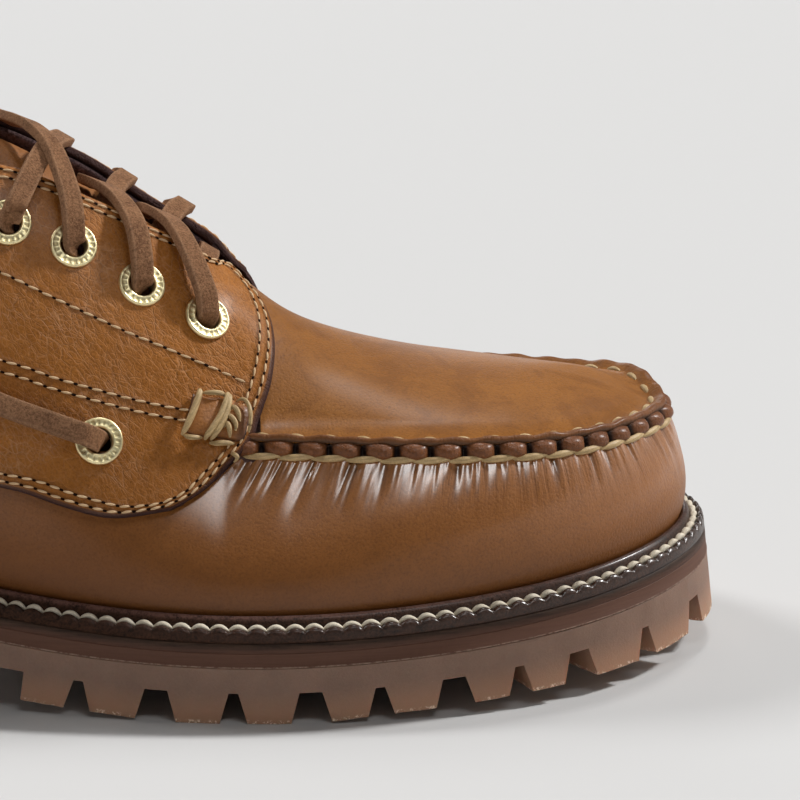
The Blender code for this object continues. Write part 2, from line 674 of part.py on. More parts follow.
def make_overlays(grid, normals, material):
    """Eyestays and side panels: strips of the upper's own form, cut to their outlines."""
    count = len(COLUMNS)
    for side, sign in (("lateral", -1), ("medial", 1)):
        for kind, outline in overlay_outlines(side).items():
            first_row, spans = OVERLAY_SPANS[kind]
            first, last = spans[side]
            stop = count if last == PERIOD else column(last)
            picked = np.arange(column(first), stop + 1) % count
            base, normal = grid[first_row:, picked].copy(), normals[first_row:, picked]
            base[:, picked == 0, 1] += sign * GAP / 2
            piece = shell(f"{kind}_{side}", base + normal * OUTER_LIFT, base + normal * GAP,
                          material, False)
            axes = ((1, 0, 0), (0, -sign * np.sin(LEAN), np.cos(LEAN)),
                    (0, sign * np.cos(LEAN), np.sin(LEAN)))
            cutter = prism(f"cut_{kind}_{side}", outline, (0, 0, 0), axes, (0, 120))
            boolean(piece, cutter, "INTERSECT")


def eyelet_mesh(material):
    """Ring with a rolled flange on top of a short barrel, turned about its axis."""
    rim = EYELET_RIM + GAP
    profile = ((EYELET_HOLE, rim - 0.2), (3.7, rim + 0.2), (EYELET_OUTER, GAP),
               (EYELET_BARREL, GAP), (EYELET_BARREL, -3.9), (EYELET_HOLE, -3.9))
    mesh = bpy.data.meshes.new("eyelet")
    points = [(r * MM, 0, z * MM) for r, z in profile]
    edges = [(i, (i + 1) % len(points)) for i in range(len(points))]
    mesh.from_pydata(points, edges, [])
    mesh.materials.append(material)
    return mesh


def place_matrix(point, normal, along):
    matrix = Matrix((along, np.cross(normal, along), normal)).transposed().to_4x4()
    matrix.translation = Vector(point) * MM
    return matrix


def make_eyelets(material):
    """Eyelets seated on the eyestays and panels, with their holes through the leather."""
    mesh = eyelet_mesh(material)
    for side in ("lateral", "medial"):
        rows = [("eyestay", number, place) for number, place in enumerate(EYELETS[side], 1)]
        rows += [("side_panel", number, place)
                 for number, place in enumerate(SIDE_EYELETS[side], 1)]
        for kind, number, (u, v) in rows:
            point, normal, along = upper_place(u, v, OUTER_LIFT)
            matrix = place_matrix(point, normal, along)
            name = f"eyelet_{kind.removeprefix('eye')}_{side}_{number}"
            eyelet = bpy.data.objects.new(name.replace("side_panel", "side"), mesh)
            PARTS.objects.link(eyelet)
            eyelet.parent = ORIGIN
            eyelet.matrix_world = matrix
            screw = eyelet.modifiers.new("turn", "SCREW")
            screw.steps = screw.render_steps = 10
            screw.use_merge_vertices = True
            screw.merge_threshold = 0.00001
            bpy.ops.mesh.primitive_cylinder_add(
                vertices=10, radius=(EYELET_BARREL + GAP) * MM, depth=16 * MM)
            cutter = bpy.context.object
            cutter.name = "cut_" + eyelet.name
            keep_as_cutter(cutter)
            cutter.matrix_world = matrix
            boolean(bpy.data.objects[f"{kind}_{side}"], cutter, "DIFFERENCE")
            boolean(bpy.data.objects["upper"], cutter, "DIFFERENCE")


# ---------------------------------------------------------------- laces
LACE_LIFT = OUTER_LIFT + GAP + LACE_THICK / 2          # lace lying on the leather
LACE_OVER_EYELET = LACE_LIFT + EYELET_RIM + 0.8
# Lines inside the foot, front and back end; a lace's flat side faces away from its line.
THROAT_MIDDLE = ((60, 2, 52), (0, 2, 76))
SIDE_MIDDLE = ((60, 2, 30), (0, 2, 44))
LACE_SECTION = ((0.5, 0), (0.36, 0.5), (-0.36, 0.5), (-0.5, 0), (-0.36, -0.5), (0.36, -0.5))
LACE_BAR = ((47.5, -3, 81.2), (47.9, 1.5, 82), (47.5, 6, 81.2))      # between the eyestays

SIDE_LIFTS = (1.8, 1, 0.5, 1, 1.8)                     # along a side run, from eyelet to eyelet

# Middle lines of the strands, row by row from the toe.  Each starts over its eyelet; those
# of the last row end over the next eyelet on the other side, the others under its edge.
LACES = (
    {"lateral": ((45.7, -15.5, 84.2), (42.5, -9.5, 88.8), (39.3, -3, 90.2), (36, 3, 90.2),
                 (34.2, 6.5, 89.3)),
     "medial": ((43.9, 15.6, 86.9), (42.6, 12.4, 89.2), (41.2, 8.5, 89.2), (39.6, 2, 88.3),
                (38.5, -4, 88))},
    {"lateral": ((33.8, -14.5, 91.7), (30, -7, 95.5), (26, -1, 96.5), (22.7, 4, 96.3)),
     "medial": ((32.1, 16.9, 92.2), (30.8, 13.6, 94.8), (29.6, 9, 94.9), (28.3, 2, 94.3),
                (27.6, -3.5, 94))},
    {"lateral": ((20.6, -15, 98.6), (17.4, -7.5, 105), (14.6, -3, 107.6), (11.6, 1, 108.8),
                 (8.7, 5, 108.8), (6.2, 10, 108.2), (5.4, 15, 106.4)),
     "medial": ((19.4, 17.6, 99.6), (17.9, 14, 102.8), (16.6, 6, 104.3), (15.6, -3, 104.9),
                (14, -9.5, 103.7))},
)


def lace_strand(name, points, material, steps=2, middle=THROAT_MIDDLE):
    """Flat thong with rounded sides swept along a smooth run of points."""
    path = smooth_run(points, steps)
    front, back = np.array(middle, float)
    share = ((path[:, 0] - front[0]) / (back[0] - front[0]))[:, None]
    away = path - (front + (back - front) * share)
    away[:, 0] = 0.6 * away[:, 2]
    along = unit(np.gradient(path, axis=0))
    side = unit(np.cross(along, away))
    normal = np.cross(side, along)
    size = len(LACE_SECTION)
    rings = [path + side * a * LACE_WIDTH + normal * b * LACE_THICK for a, b in LACE_SECTION]
    verts = np.array(rings).transpose(1, 0, 2).reshape(-1, 3)
    faces = [tuple(range(size)), tuple(range(len(verts) - size, len(verts)))]
    for k in range(len(path) - 1):
        faces += ring_faces(k * size, (k + 1) * size, size)
    return mesh_object(name, verts, faces, material)


def over_rim(side, number, toward):
    """Points over an eyelet's hole and over its rim, on the way toward a point."""
    point, normal, _ = upper_place(*EYELETS[side][number], LACE_OVER_EYELET)
    way = np.array(toward) - point
    way = unit(way - normal * (way @ normal))
    return [point, point + way * EYELET_OUTER + normal * 0.3]


def strand_points(number, side):
    """The strand of one row that starts at an eyelet of this side."""
    middle = list(LACES[number][side])
    points = over_rim(side, number, middle[0]) + middle
    if number == len(LACES) - 1:
        other = "medial" if side == "lateral" else "lateral"
        points += reversed(over_rim(other, number + 1, middle[-1]))
    return points


def make_laces(material):
    """Three crossings, each two strands joined where they meet, a bar and side runs."""
    for number in range(len(LACES)):
        strand = lace_strand(f"lace_crossing_{number + 1}",
                             strand_points(number, "lateral"), material)
        under = lace_strand(f"cut_lace_{number + 1}", strand_points(number, "medial"), None)
        boolean(strand, under, "UNION")
    lace_strand("lace_bar", LACE_BAR, material)
    for side in ("lateral", "medial"):
        (u1, v1), (u2, v2) = SIDE_EYELETS[side]
        lifts = LACE_LIFT + np.array(SIDE_LIFTS)
        run = [upper_place(u1 + (u2 - u1) * share, v1 + (v2 - v1) * share, lift)[0]
               for share, lift in zip(np.linspace(0, 1, len(lifts)), lifts)]
        lace_strand(f"lace_side_{side}", run, material, 3, SIDE_MIDDLE)


# ---------------------------------------------------------------- assembly
clear_scene()
PARTS = new_collection(OBJECT_NAME)
CUTTERS = new_collection("cutters")
ORIGIN = bpy.data.objects.new("origin", None)
PARTS.objects.link(ORIGIN)


def stand_on_origin():
    """Moves the shoe so that the origin is the middle of its box, on the floor."""
    bpy.context.view_layer.update()
    depsgraph = bpy.context.evaluated_depsgraph_get()
    corners = []
    for item in PARTS.objects:
        if item.type == "MESH":
            shape = item.evaluated_get(depsgraph)
            corners += [shape.matrix_world @ Vector(corner) for corner in shape.bound_box]
    corners = np.array([tuple(corner) for corner in corners])
    middle = (corners.min(axis=0) + corners.max(axis=0)) / 2
    ORIGIN.location = (-middle[0], -middle[1], -corners[:, 2].min())
    bpy.context.view_layer.update()


def main():
    cognac = leather("cognac leather", (0.30, 0.11, 0.032), 0.32)
    lining = leather("tan tongue leather", (0.36, 0.16, 0.06), 0.45)
    brass = leather("brass", (0.75, 0.58, 0.28), 0.25, 1.0)
    thong = leather("rawhide lace", (0.13, 0.06, 0.03), 0.7)
    sole = {"midsole": leather("dark midsole leather", (0.04, 0.022, 0.015), 0.55),
            "band": leather("red brown rubber", (0.14, 0.055, 0.04), 0.5),
            "insole": leather("insole leather", (0.35, 0.2, 0.1), 0.6)}
    make_welt(leather("welt leather", (0.035, 0.018, 0.013), 0.35))
    make_sole_layers(sole)
    rubber = leather("brown rubber", (0.13, 0.07, 0.055), 0.55)
    make_outsole(rubber)
    make_heel(rubber)
    grid, normals, closed = upper_grid()
    make_upper(grid, normals, closed, cognac)
    make_tongue(grid, normals, closed, lining)
    make_overlays(grid, normals, cognac)
    make_eyelets(brass)
    make_laces(thong)
    stand_on_origin()


main()
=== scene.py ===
"""Looks of the camp moccasin, a right shoe with a hand-sewn toe on a welted lug sole.

The toe points along +X and the outer side faces -Y.  Sizes are in millimetres in the
shoemaker's own frame; new_piece() turns them into metres and shifts them to the part.
"""
import bpy
import bmesh
import numpy as np
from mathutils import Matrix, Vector


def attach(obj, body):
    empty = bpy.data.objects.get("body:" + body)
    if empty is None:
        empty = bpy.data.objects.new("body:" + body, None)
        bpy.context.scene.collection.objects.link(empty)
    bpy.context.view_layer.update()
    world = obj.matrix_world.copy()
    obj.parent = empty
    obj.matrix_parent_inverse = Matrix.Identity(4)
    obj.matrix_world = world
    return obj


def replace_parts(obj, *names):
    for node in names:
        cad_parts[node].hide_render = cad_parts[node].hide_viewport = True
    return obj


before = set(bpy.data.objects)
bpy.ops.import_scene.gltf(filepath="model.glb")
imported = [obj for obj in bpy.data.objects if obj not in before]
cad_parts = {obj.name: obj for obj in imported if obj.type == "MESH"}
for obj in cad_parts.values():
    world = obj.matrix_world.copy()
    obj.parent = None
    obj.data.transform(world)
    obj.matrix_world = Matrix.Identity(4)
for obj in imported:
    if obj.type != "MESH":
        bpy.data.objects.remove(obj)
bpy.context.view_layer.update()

# ------------------------------------------------------------------ studio
# A pale seamless sweep.  Three far lights high behind the shoe, left, right and middle,
# draw the short shadows; a low soft box behind gives the leather its sheen, one at the
# right rims the toe, and a faint one in front mostly shows as glints.
WHITE = (0.60, 0.595, 0.588, 1)
FAR_LIGHTS = (   # name, where it stands, degrees across, strength
    ("left light", (-0.90, 0.44, 1.05), 20, 1.22),
    ("right light", (0.95, 0.36, 0.92), 7, 2.66),
    ("overhead light", (0.20, 0.62, 1.40), 12, 0.66),
)
SOFT_BOXES = (   # name, place, width, watts, height
    ("toe light", (1.25, 0.45, 0.62), 0.30, 1.2, 0.30),
    ("glint light", (0.36, -0.70, 1.34), 0.66, 2.8, 0.24),
    ("sheen light", (-0.12, 1.95, 0.44), 0.75, 4.6, 0.75),
)
AIM = Vector((0.03, 0.0, 0.03))
turn = np.linspace(0, 2 * np.pi, 97)[:-1]
sweep = [(0, 0), (1, 0), (6, 0), (7, 0.1), (7.7, 0.4), (8.1, 0.9), (8.3, 1.6), (8.3, 3.0)]
points = [(0, 0, 0)] + [(r * np.cos(a), r * np.sin(a), z) for r, z in sweep[1:] for a in turn]
size = len(turn)
faces = [(0, 1 + i, 1 + (i + 1) % size) for i in range(size)]
faces += [(1 + k * size + i, 1 + (k + 1) * size + i, 1 + (k + 1) * size + (i + 1) % size,
           1 + k * size + (i + 1) % size) for k in range(len(sweep) - 2) for i in range(size)]
mesh = bpy.data.meshes.new("studio_floor")
mesh.from_pydata(points, [], faces)
mesh.polygons.foreach_set("use_smooth", [True] * len(mesh.polygons))
studio_floor = bpy.data.objects.new("studio_floor", mesh)
bpy.context.scene.collection.objects.link(studio_floor)
paper = bpy.data.materials.new("seamless paper")
paper.use_nodes = True
paper.node_tree.nodes["Principled BSDF"].inputs["Base Color"].default_value = WHITE
paper.node_tree.nodes["Principled BSDF"].inputs["Roughness"].default_value = 0.9
mesh.materials.append(paper)

for name, place, across, strength, *tall in FAR_LIGHTS + SOFT_BOXES:
    if across > 3:
        lamp = bpy.data.lights.new(name, "SUN")
        lamp.angle = np.radians(across)
    else:
        lamp = bpy.data.lights.new(name, "AREA")
        lamp.shape, lamp.size, lamp.size_y = "RECTANGLE", across, tall[0]
    lamp.energy = strength
    lamp_object = bpy.data.objects.new(name, lamp)
    lamp_object.location = place
    lamp_object.rotation_euler = (AIM - Vector(place)).to_track_quat("-Z", "Y").to_euler()
    bpy.context.scene.collection.objects.link(lamp_object)
world = bpy.data.worlds.new("studio air")
bpy.context.scene.world = world
world.use_nodes = True
world.node_tree.nodes["Background"].inputs["Color"].default_value = (0.93, 0.96, 1.0, 1)
world.node_tree.nodes["Background"].inputs["Strength"].default_value = 0.02
bpy.context.scene.view_settings.view_transform = "Standard"

TARGET = Vector((0.0863935, -0.0174637, 0.0566))
DISTANCE, ELEVATION, LENS = 1.1, np.radians(16), 245.25
look = Vector((0, np.cos(ELEVATION), -np.sin(ELEVATION)))
camera = bpy.data.objects.new("camera", bpy.data.cameras.new("camera"))
camera.data.sensor_width, camera.data.lens = 36.0, LENS
camera.data.clip_start, camera.data.clip_end = 0.05, 20
camera.location = TARGET - look * DISTANCE
camera.rotation_euler = look.to_track_quat("-Z", "Y").to_euler()
bpy.context.scene.collection.objects.link(camera)
bpy.context.scene.camera = camera


# ------------------------------------------------------------------ vamp
# The wall of cognac pull-up leather that wraps the foot from the welt to the moccasin
# seam.  It is wetted, pulled over the last and gathered into the smaller plug, so it
# stands in puckers under the seam that fade out down the wall.
MM = 0.001
SHIFT = np.array([-0.6065, 2.5363, 0])     # shoemaker's frame to the part's frame
GAP, WALL = 0.3, 2.0                       # between layers; the upper's leather
FEATHER_INSET, TOE_INSET_CUT = 6.4, 1.0
EDGE = (      # the sole's edge from above: x, y for u = 0, 1, 2 ...; u = 11 is the toe
    (-150, 0), (-138, -26), (-115, -36), (-80, -37), (-45, -37.5), (-10, -43),
    (20, -50.5), (55, -56), (90, -53), (116, -43.5), (138, -25.5), (150, 3),
    (143, 27), (125, 42), (100, 49.5), (70, 50.5), (35, 44), (0, 34),
    (-35, 30), (-75, 33), (-112, 35), (-138, 25.5),
)
PERIOD = len(EDGE)
LEDGE = ((-150, 33.5), (-110, 33), (-72, 31.5), (-30, 26.5), (0, 22.3), (25, 19.6),
         (50, 18.6), (75, 19.0), (100, 20.4), (125, 22.3), (150, 24.8))
CROWN = ((-30, 119), (-6, 112), (8, 107), (21, 100.5), (35, 89.8), (48, 80.6), (55, 75.3),
         (62, 69.8), (70, 65.9), (80, 63.0), (90, 60.9), (100, 59.4), (110, 58.2),
         (120, 56.9), (130, 54.5), (139, 50.6))
CROWN_Y = 2.0
# Handles of the upper's curves: mm out over the welt and share of the wall's height, then
# shares of the top's length at the seam, at its end, and straight on for each 1 of v.
FOOT_OUT, WALL_HANDLE, SEAM_HANDLE, END_HANDLE, STRAIGHT_ON = 3.4, 0.3, 0.34, 0.36, 1.08
# The inner side's seam, u = 12 to 15, is up to 3 mm lower than the solid's, so that the
# plug hides it from the outer side.
RIBS = (      # u, seam point, end point, slopes in degrees: wall, top, top's end
    (0, -146, 0, 56, -138.5, 0, 99, 93, 93, 75),
    (1, -134.5, -23.5, 56, -129, -17.5, 97, 90, 90, 78),
    (2, -113, -31.5, 56, -108, -25.5, 90, 86, 86, 80),
    (3, -79, -33, 55, -77, -27.5, 81.5, 82, 82, 78),
    (4, -45, -34, 53.5, -45, -26.5, 79.5, 80, 80, 72),
    (4.6, -25, -35, 52.5, -26, -20.5, 89, 76, 76, 62),
    (5, -11, -36.3, 52, -11, -13.5, 104.5, 72, 70, 52),
    (5.5, 4, -37.3, 51.7, 5, -9.8, 102.3, 68, 66, 46),
    (6, 20, -37.3, 51.2, 20, -9.3, 96.7, 66, 64, 46),
    (6.5, 37, -35.8, 50.2, 36.5, -9.3, 87, 62, 60, 42),
    (6.8, 47.5, -34.4, 49.4, 47, -6.8, 81.1, 58, 52, 30),
    (6.95, 52.5, -33.8, 49.1, 52, 2, 77.8, 56, 46, 5),
    (7.3, 64, -34.2, 48.8, 63, 2, 0, 50, 42, 0),
    (8, 87, -36.4, 48.7, 84, 2, 0, 48, 38, 0),
    (9, 111, -32.3, 48.1, 101, 2, 0, 50, 36, 0),
    (10, 130.3, -19.8, 47.2, 111, 2, 0, 56, 36, 0),
    (11, 142.6, 2, 46.8, 115, 2, 0, 64, 34, 0),
    (12, 137, 18.5, 49.1, 112, 2, 0, 60, 30, 0),
    (13, 121, 30, 47.6, 105, 2, 0, 54, 28, 0),
    (14, 98.5, 35.5, 47.4, 91, 2, 0, 50, 29, 0),
    (15, 71, 35.5, 48.6, 69, 2, 0, 50, 34, 0),
    (15.5, 53.5, 34.6, 51.5, 52, 2, 77.8, 54, 44, 5),
    (15.7, 47, 34, 51.7, 47, 10, 81.9, 60, 56, 25),
    (16, 37, 33.5, 52, 36.8, 11.5, 87.2, 64, 62, 40),
    (16.5, 20, 32.3, 52.5, 20, 12.5, 97.6, 68, 68, 46),
    (17, 3, 31, 53.5, 4, 13.5, 103, 72, 72, 52),
    (17.5, -14, 30, 54.3, -13, 16, 105.2, 76, 76, 58),
    (18, -35, 29.5, 55, -35, 22.5, 88.5, 80, 80, 72),
    (19, -75, 30.5, 56, -74, 26, 84, 84, 84, 78),
    (20, -110, 31, 56.5, -107, 25, 91, 88, 88, 80),
    (21, -134, 22.5, 56.5, -129, 17, 97.5, 90, 90, 78),
)


def natural_spline(points):
    """Smooth curve through (x, y) points; called with x, or x and 1 for its slope."""
    x, y = np.array(points, float).T
    n = len(x)
    h = np.diff(x)
    lhs, rhs = np.eye(n), np.zeros(n)
    for i in range(1, n - 1):
        lhs[i, i - 1:i + 2] = h[i - 1], 2 * (h[i - 1] + h[i]), h[i]
        rhs[i] = 6 * ((y[i + 1] - y[i]) / h[i] - (y[i] - y[i - 1]) / h[i - 1])
    m = np.linalg.solve(lhs, rhs)

    def curve(at, slope=0):
        at = np.clip(np.asarray(at, float), x[0], x[-1])
        i = np.clip(np.searchsorted(x, at) - 1, 0, n - 2)
        a, b = x[i + 1] - at, at - x[i]
        left = y[i] / h[i] - m[i] * h[i] / 6
        right = y[i + 1] / h[i] - m[i + 1] * h[i] / 6
        if slope:
            return (m[i + 1] * b ** 2 - m[i] * a ** 2) / (2 * h[i]) - left + right
        return (m[i] * a ** 3 + m[i + 1] * b ** 3) / (6 * h[i]) + left * a + right * b
    return curve


def keyed_curve(rows, period=None):
    """Curve through rows of (key, values ...) that never overshoots them."""
    rows = np.array(rows, float)
    key, value = rows[:, 0], rows[:, 1:]
    if period:
        key = np.concatenate([key - period, key, key + period])
        value = np.vstack([value] * 3)
    h = np.diff(key)[:, None]
    d = np.diff(value, axis=0) / h
    before, after = h[1:] + 2 * h[:-1], 2 * h[1:] + h[:-1]
    rising = d[:-1] * d[1:] > 0
    with np.errstate(divide="ignore", invalid="ignore"):
        mean = (before + after) / (after / d[:-1] + before / d[1:])
    m = np.zeros_like(value)
    m[1:-1] = np.where(rising, mean, 0)

    def curve(at):
        at = np.atleast_1d(np.asarray(at, float))
        i = np.clip(np.searchsorted(key, at, side="right") - 1, 0, len(key) - 2)
        span = h[i]
        t = np.clip((at[:, None] - key[i][:, None]) / span, 0, 1)
        ends = value[i] * (1 + 2 * t) * (1 - t) ** 2 + value[i + 1] * t * t * (3 - 2 * t)
        return ends + span * t * (1 - t) * (m[i] * (1 - t) - m[i + 1] * t)
    return curve


def closed_curve(points):
    """Smooth closed curve through (x, y) points; called with u, gives points and tangents."""
    p = np.array(points, float)
    n = len(p)
    h = np.linalg.norm(np.roll(p, -1, 0) - p, axis=1) ** 0.75
    lhs, rhs = np.zeros((n, n)), np.zeros((n, 2))
    for i in range(n):
        j = (i + 1) % n
        lhs[i, i - 1] += h[i - 1]
        lhs[i, i] += 2 * (h[i - 1] + h[i])
        lhs[i, j] += h[i]
        rhs[i] = 6 * ((p[j] - p[i]) / h[i] - (p[i] - p[i - 1]) / h[i - 1])
    m = np.linalg.solve(lhs, rhs)

    def curve(u):
        u = np.asarray(u, float) % n
        i = np.minimum(u.astype(int), n - 1)
        j = (i + 1) % n
        span = h[i][:, None]
        b = (u - i)[:, None] * span
        a = span - b
        left = p[i] / span - m[i] * span / 6
        right = p[j] / span - m[j] * span / 6
        point = (m[i] * a ** 3 + m[j] * b ** 3) / (6 * span) + left * a + right * b
        tangent = (m[j] * b ** 2 - m[i] * a ** 2) / (2 * span) - left + right
        return point, tangent / np.linalg.norm(tangent, axis=1)[:, None]
    return curve


def run_along(points):
    """Length from the first point to each point of a line."""
    return np.concatenate([[0], np.cumsum(np.linalg.norm(np.diff(points, axis=0), axis=1))])


sole_edge = closed_curve(EDGE)
ledge = natural_spline(LEDGE)
crown = natural_spline(CROWN)
rib_values = keyed_curve(RIBS, PERIOD)


def unit(v):
    return v / np.maximum(np.linalg.norm(v, axis=-1, keepdims=True), 1e-9)


def bezier(a, b, c, d, t):
    return a * (1 - t) ** 3 + 3 * b * t * (1 - t) ** 2 + 3 * c * t * t * (1 - t) + d * t ** 3


def edge_inset(u, inset):
    """Points inset from the sole's edge, in plan; the insets shrink a little at the toe."""
    point, tangent = sole_edge(u)
    outward = np.column_stack([tangent[:, 1], -tangent[:, 0]])
    toe = np.clip((point[:, 0] - 110) / 40, 0, 1)
    narrow = 1 - toe * TOE_INSET_CUT / FEATHER_INSET
    return point - outward * (inset * narrow)[:, None], outward


def upper_surface(u, v):
    """Points of the last-shaped upper for u and v: 0 welt, 1 seam, 2 top, then straight on."""
    u, v = np.broadcast_arrays(np.asarray(u, float), np.asarray(v, float))
    shape = u.shape
    u, v = u.ravel(), v.ravel()[:, None]
    keys, back = np.unique(u, return_inverse=True)
    value = rib_values(keys % PERIOD)
    seam, end = value[:, 0:3].copy(), value[:, 3:6].copy()
    wall_slope, top_slope, end_slope = np.radians(value[:, 6:9]).T
    closed = abs(end[:, 1] - CROWN_Y) < 0.01
    end[closed, 2] = crown(end[closed, 0])
    foot_plan, outward = edge_inset(keys, np.full(len(keys), FEATHER_INSET))
    foot = np.column_stack([foot_plan, ledge(foot_plan[:, 0]) + GAP])
    out = np.column_stack([outward, np.zeros(len(keys))])
    up = np.array([0, 0, 1.0])
    inward = unit((end - seam) * (1, 1, 0))
    rise = (seam[:, 2] - foot[:, 2])[:, None]
    wall_dir = inward * np.cos(wall_slope)[:, None] + up * np.sin(wall_slope)[:, None]
    top_dir = inward * np.cos(top_slope)[:, None] + up * np.sin(top_slope)[:, None]
    end_rise = np.where(closed, crown(end[:, 0], 1) * inward[:, 0], np.tan(end_slope))
    end_dir = unit(inward + up * end_rise[:, None])
    length = np.linalg.norm(end - seam, axis=1)[:, None]
    low, high = foot + out * FOOT_OUT + up * WALL_HANDLE * rise, \
        seam - wall_dir * WALL_HANDLE * rise / np.sin(wall_slope)[:, None]
    start, stop = seam + top_dir * length * SEAM_HANDLE, end - end_dir * length * END_HANDLE
    wall = bezier(foot[back], low[back], high[back], seam[back], np.minimum(v, 1))
    top = bezier(seam[back], start[back], stop[back], end[back], np.clip(v - 1, 0, 1))
    top += end_dir[back] * STRAIGHT_ON * length[back] * np.maximum(v - 2, 0)
    return np.where(v <= 1, wall, top).reshape(*shape, 3)


def grid_normals(grid, ring=False):
    """Outward normals of a grid of columns x rows whose columns run round the shoe."""
    if ring:
        along = np.roll(grid, -1, 0) - np.roll(grid, 1, 0)
    else:
        along = np.gradient(grid, axis=0)
    return unit(np.cross(along, np.gradient(grid, axis=1)))


def band_faces(columns, rows, ring=False, wrap=False):
    """Quads of a grid of points numbered column by column."""
    i = np.arange(columns if ring else columns - 1)[:, None]
    j = np.arange(rows if wrap else rows - 1)[None, :]
    a, b = i * rows + j, (i + 1) % columns * rows + j
    c, d = (i + 1) % columns * rows + (j + 1) % rows, i * rows + (j + 1) % rows
    return np.stack([a, b, c, d], axis=-1).reshape(-1, 4)


def new_piece(name, points, faces, finish, marks=None, smooth=True):
    """A mesh of the shoe from points in mm; marks hold a value for each point."""
    mesh = bpy.data.meshes.new(name)
    points = (np.asarray(points, float).reshape(-1, 3) + SHIFT) * MM
    mesh.from_pydata(points.tolist(), [], faces.tolist() if hasattr(faces, "tolist") else faces)
    for mark, values in (marks or {}).items():
        layer = mesh.attributes.new(mark, "FLOAT", "POINT")
        layer.data.foreach_set("value", np.asarray(values, np.float32).ravel())
    if smooth:
        mesh.polygons.foreach_set("use_smooth", [True] * len(mesh.polygons))
    mesh.materials.append(finish)
    mesh.validate()
    piece = bpy.data.objects.new(name, mesh)
    bpy.context.scene.collection.objects.link(piece)
    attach(piece, "root")
    return piece


def loft(name, sections, finish, marks=None, ring=False):
    """Solid through closed sections, columns x points; its two ends are closed flat."""
    columns, rows = sections.shape[:2]
    faces = band_faces(columns, rows, ring, True).tolist()
    if not ring:
        faces += [tuple(range(rows))[::-1], tuple((columns - 1) * rows + j for j in range(rows))]
    return new_piece(name, sections, faces, finish, marks)


class Signal:
    """One output of a finish's nodes; arithmetic on it adds Math nodes."""

    def __init__(self, finish, socket):
        self.finish, self.socket = finish, socket

    def math(self, operation, *values):
        return self.finish.node("ShaderNodeMath", {"operation": operation},
                                dict(enumerate(values)))

    def __add__(self, other):
        return self.math("ADD", self, other)

    def __sub__(self, other):
        return self.math("SUBTRACT", self, other)

    def __rsub__(self, other):
        return self.math("SUBTRACT", other, self)

    def __mul__(self, other):
        return self.math("MULTIPLY", self, other)

    __radd__, __rmul__ = __add__, __mul__

    def size(self):
        return self.math("ABSOLUTE", self)

    def step(self, low, high):
        """0 at low and 1 at high, with soft ends; low may be the larger."""
        return self.finish.node("ShaderNodeMapRange", {"interpolation_type": "SMOOTHSTEP"}, {
            "Value": self, "From Min": low, "From Max": high})

    def sine(self):
        return self.math("SINE", self)

    def limit(self, low=0, high=1):
        return self.math("MAXIMUM", low, self.math("MINIMUM", high, self))


class Finish:
    """A material in the making: its Principled shader and the nodes that feed it."""

    def __init__(self, name, **constants):
        self.material = bpy.data.materials.new(name)
        self.material.use_nodes = True
        self.tree = self.material.node_tree
        self.shader = self.tree.nodes["Principled BSDF"]
        for socket, value in constants.items():
            self.shader.inputs[socket.replace("_", " ")].default_value = value
        self.where = self.node("ShaderNodeTexCoord", {}, {}, "Object")

    def node(self, kind, settings, values, output=0):
        """Adds a node with its settings, then its sockets' values or links."""
        node = self.tree.nodes.new(kind)
        for key, value in settings.items():
            if key == "stops":
                for k, (place, colour) in enumerate(value):
                    stop = node.color_ramp.elements[k] if k < 2 else \
                        node.color_ramp.elements.new(place)
                    stop.position, stop.color = place, (*colour, 1)
            else:
                setattr(node, key, value)
        for key, value in values.items():
            if isinstance(value, Signal):
                self.tree.links.new(value.socket, node.inputs[key])
            else:
                node.inputs[key].default_value = value
        return Signal(self, node.outputs[output])

    def mark(self, name):
        """The value that new_piece() stored on the mesh's points."""
        return self.node("ShaderNodeAttribute", {"attribute_name": name}, {}, "Fac")

    def place(self, axis):
        """How far along x, y or z (0, 1, 2) the shaded point is, in metres."""
        return self.node("ShaderNodeSeparateXYZ", {}, {0: self.where}, axis)

    def laid_flat(self, across_mm, down_mm):
        """Coordinates on the leather as if it were laid flat."""
        return self.node("ShaderNodeCombineXYZ", {}, {0: across_mm * MM, 1: down_mm * MM})

    def stretch(self, scale, turn=(0, 0, 0)):
        """The object's own coordinates, turned and then scaled along each axis."""
        turned = self.node("ShaderNodeMapping", {"vector_type": "POINT"},
                           {"Vector": self.where, "Rotation": turn})
        return self.node("ShaderNodeVectorMath", {"operation": "MULTIPLY"},
                         {0: turned, 1: scale})

    def noise(self, size_mm, detail=3.0, rough=0.55, warp=0.0, at=None):
        """Soft noise, about 0.5 on average, with features of this size."""
        return self.node("ShaderNodeTexNoise", {}, {
            "Vector": at or self.where, "Scale": 1000.0 / size_mm, "Detail": detail,
            "Roughness": rough, "Distortion": warp}, "Fac")

    def cells(self, size_mm, feature="F1", at=None):
        return self.node("ShaderNodeTexVoronoi", {"feature": feature}, {
            "Vector": at or self.where, "Scale": 1000.0 / size_mm}, "Distance")

    def blend(self, mask, first, second):
        """Colour between two colours or colour signals."""
        def colour(value):
            return value if isinstance(value, Signal) else (*value, 1)
        return self.node("ShaderNodeMix", {"data_type": "RGBA"},
                         {0: mask, 6: colour(first), 7: colour(second)}, 2)

    def done(self, colour=None, roughness=None, relief=None, coat=None):
        """Links what changes over the surface; relief is a height in mm."""
        shader = self.shader.inputs
        for socket, value in (("Base Color", colour), ("Roughness", roughness),
                              ("Coat Weight", coat)):
            if isinstance(value, Signal):
                self.tree.links.new(value.socket, shader[socket])
            elif value is not None:
                shader[socket].default_value = value
        if relief is not None:
            bump = self.node("ShaderNodeBump", {}, {"Height": relief * MM, "Strength": 1.0,
                                                    "Distance": 1.0})
            self.tree.links.new(bump.socket, shader["Normal"])
        return self.material


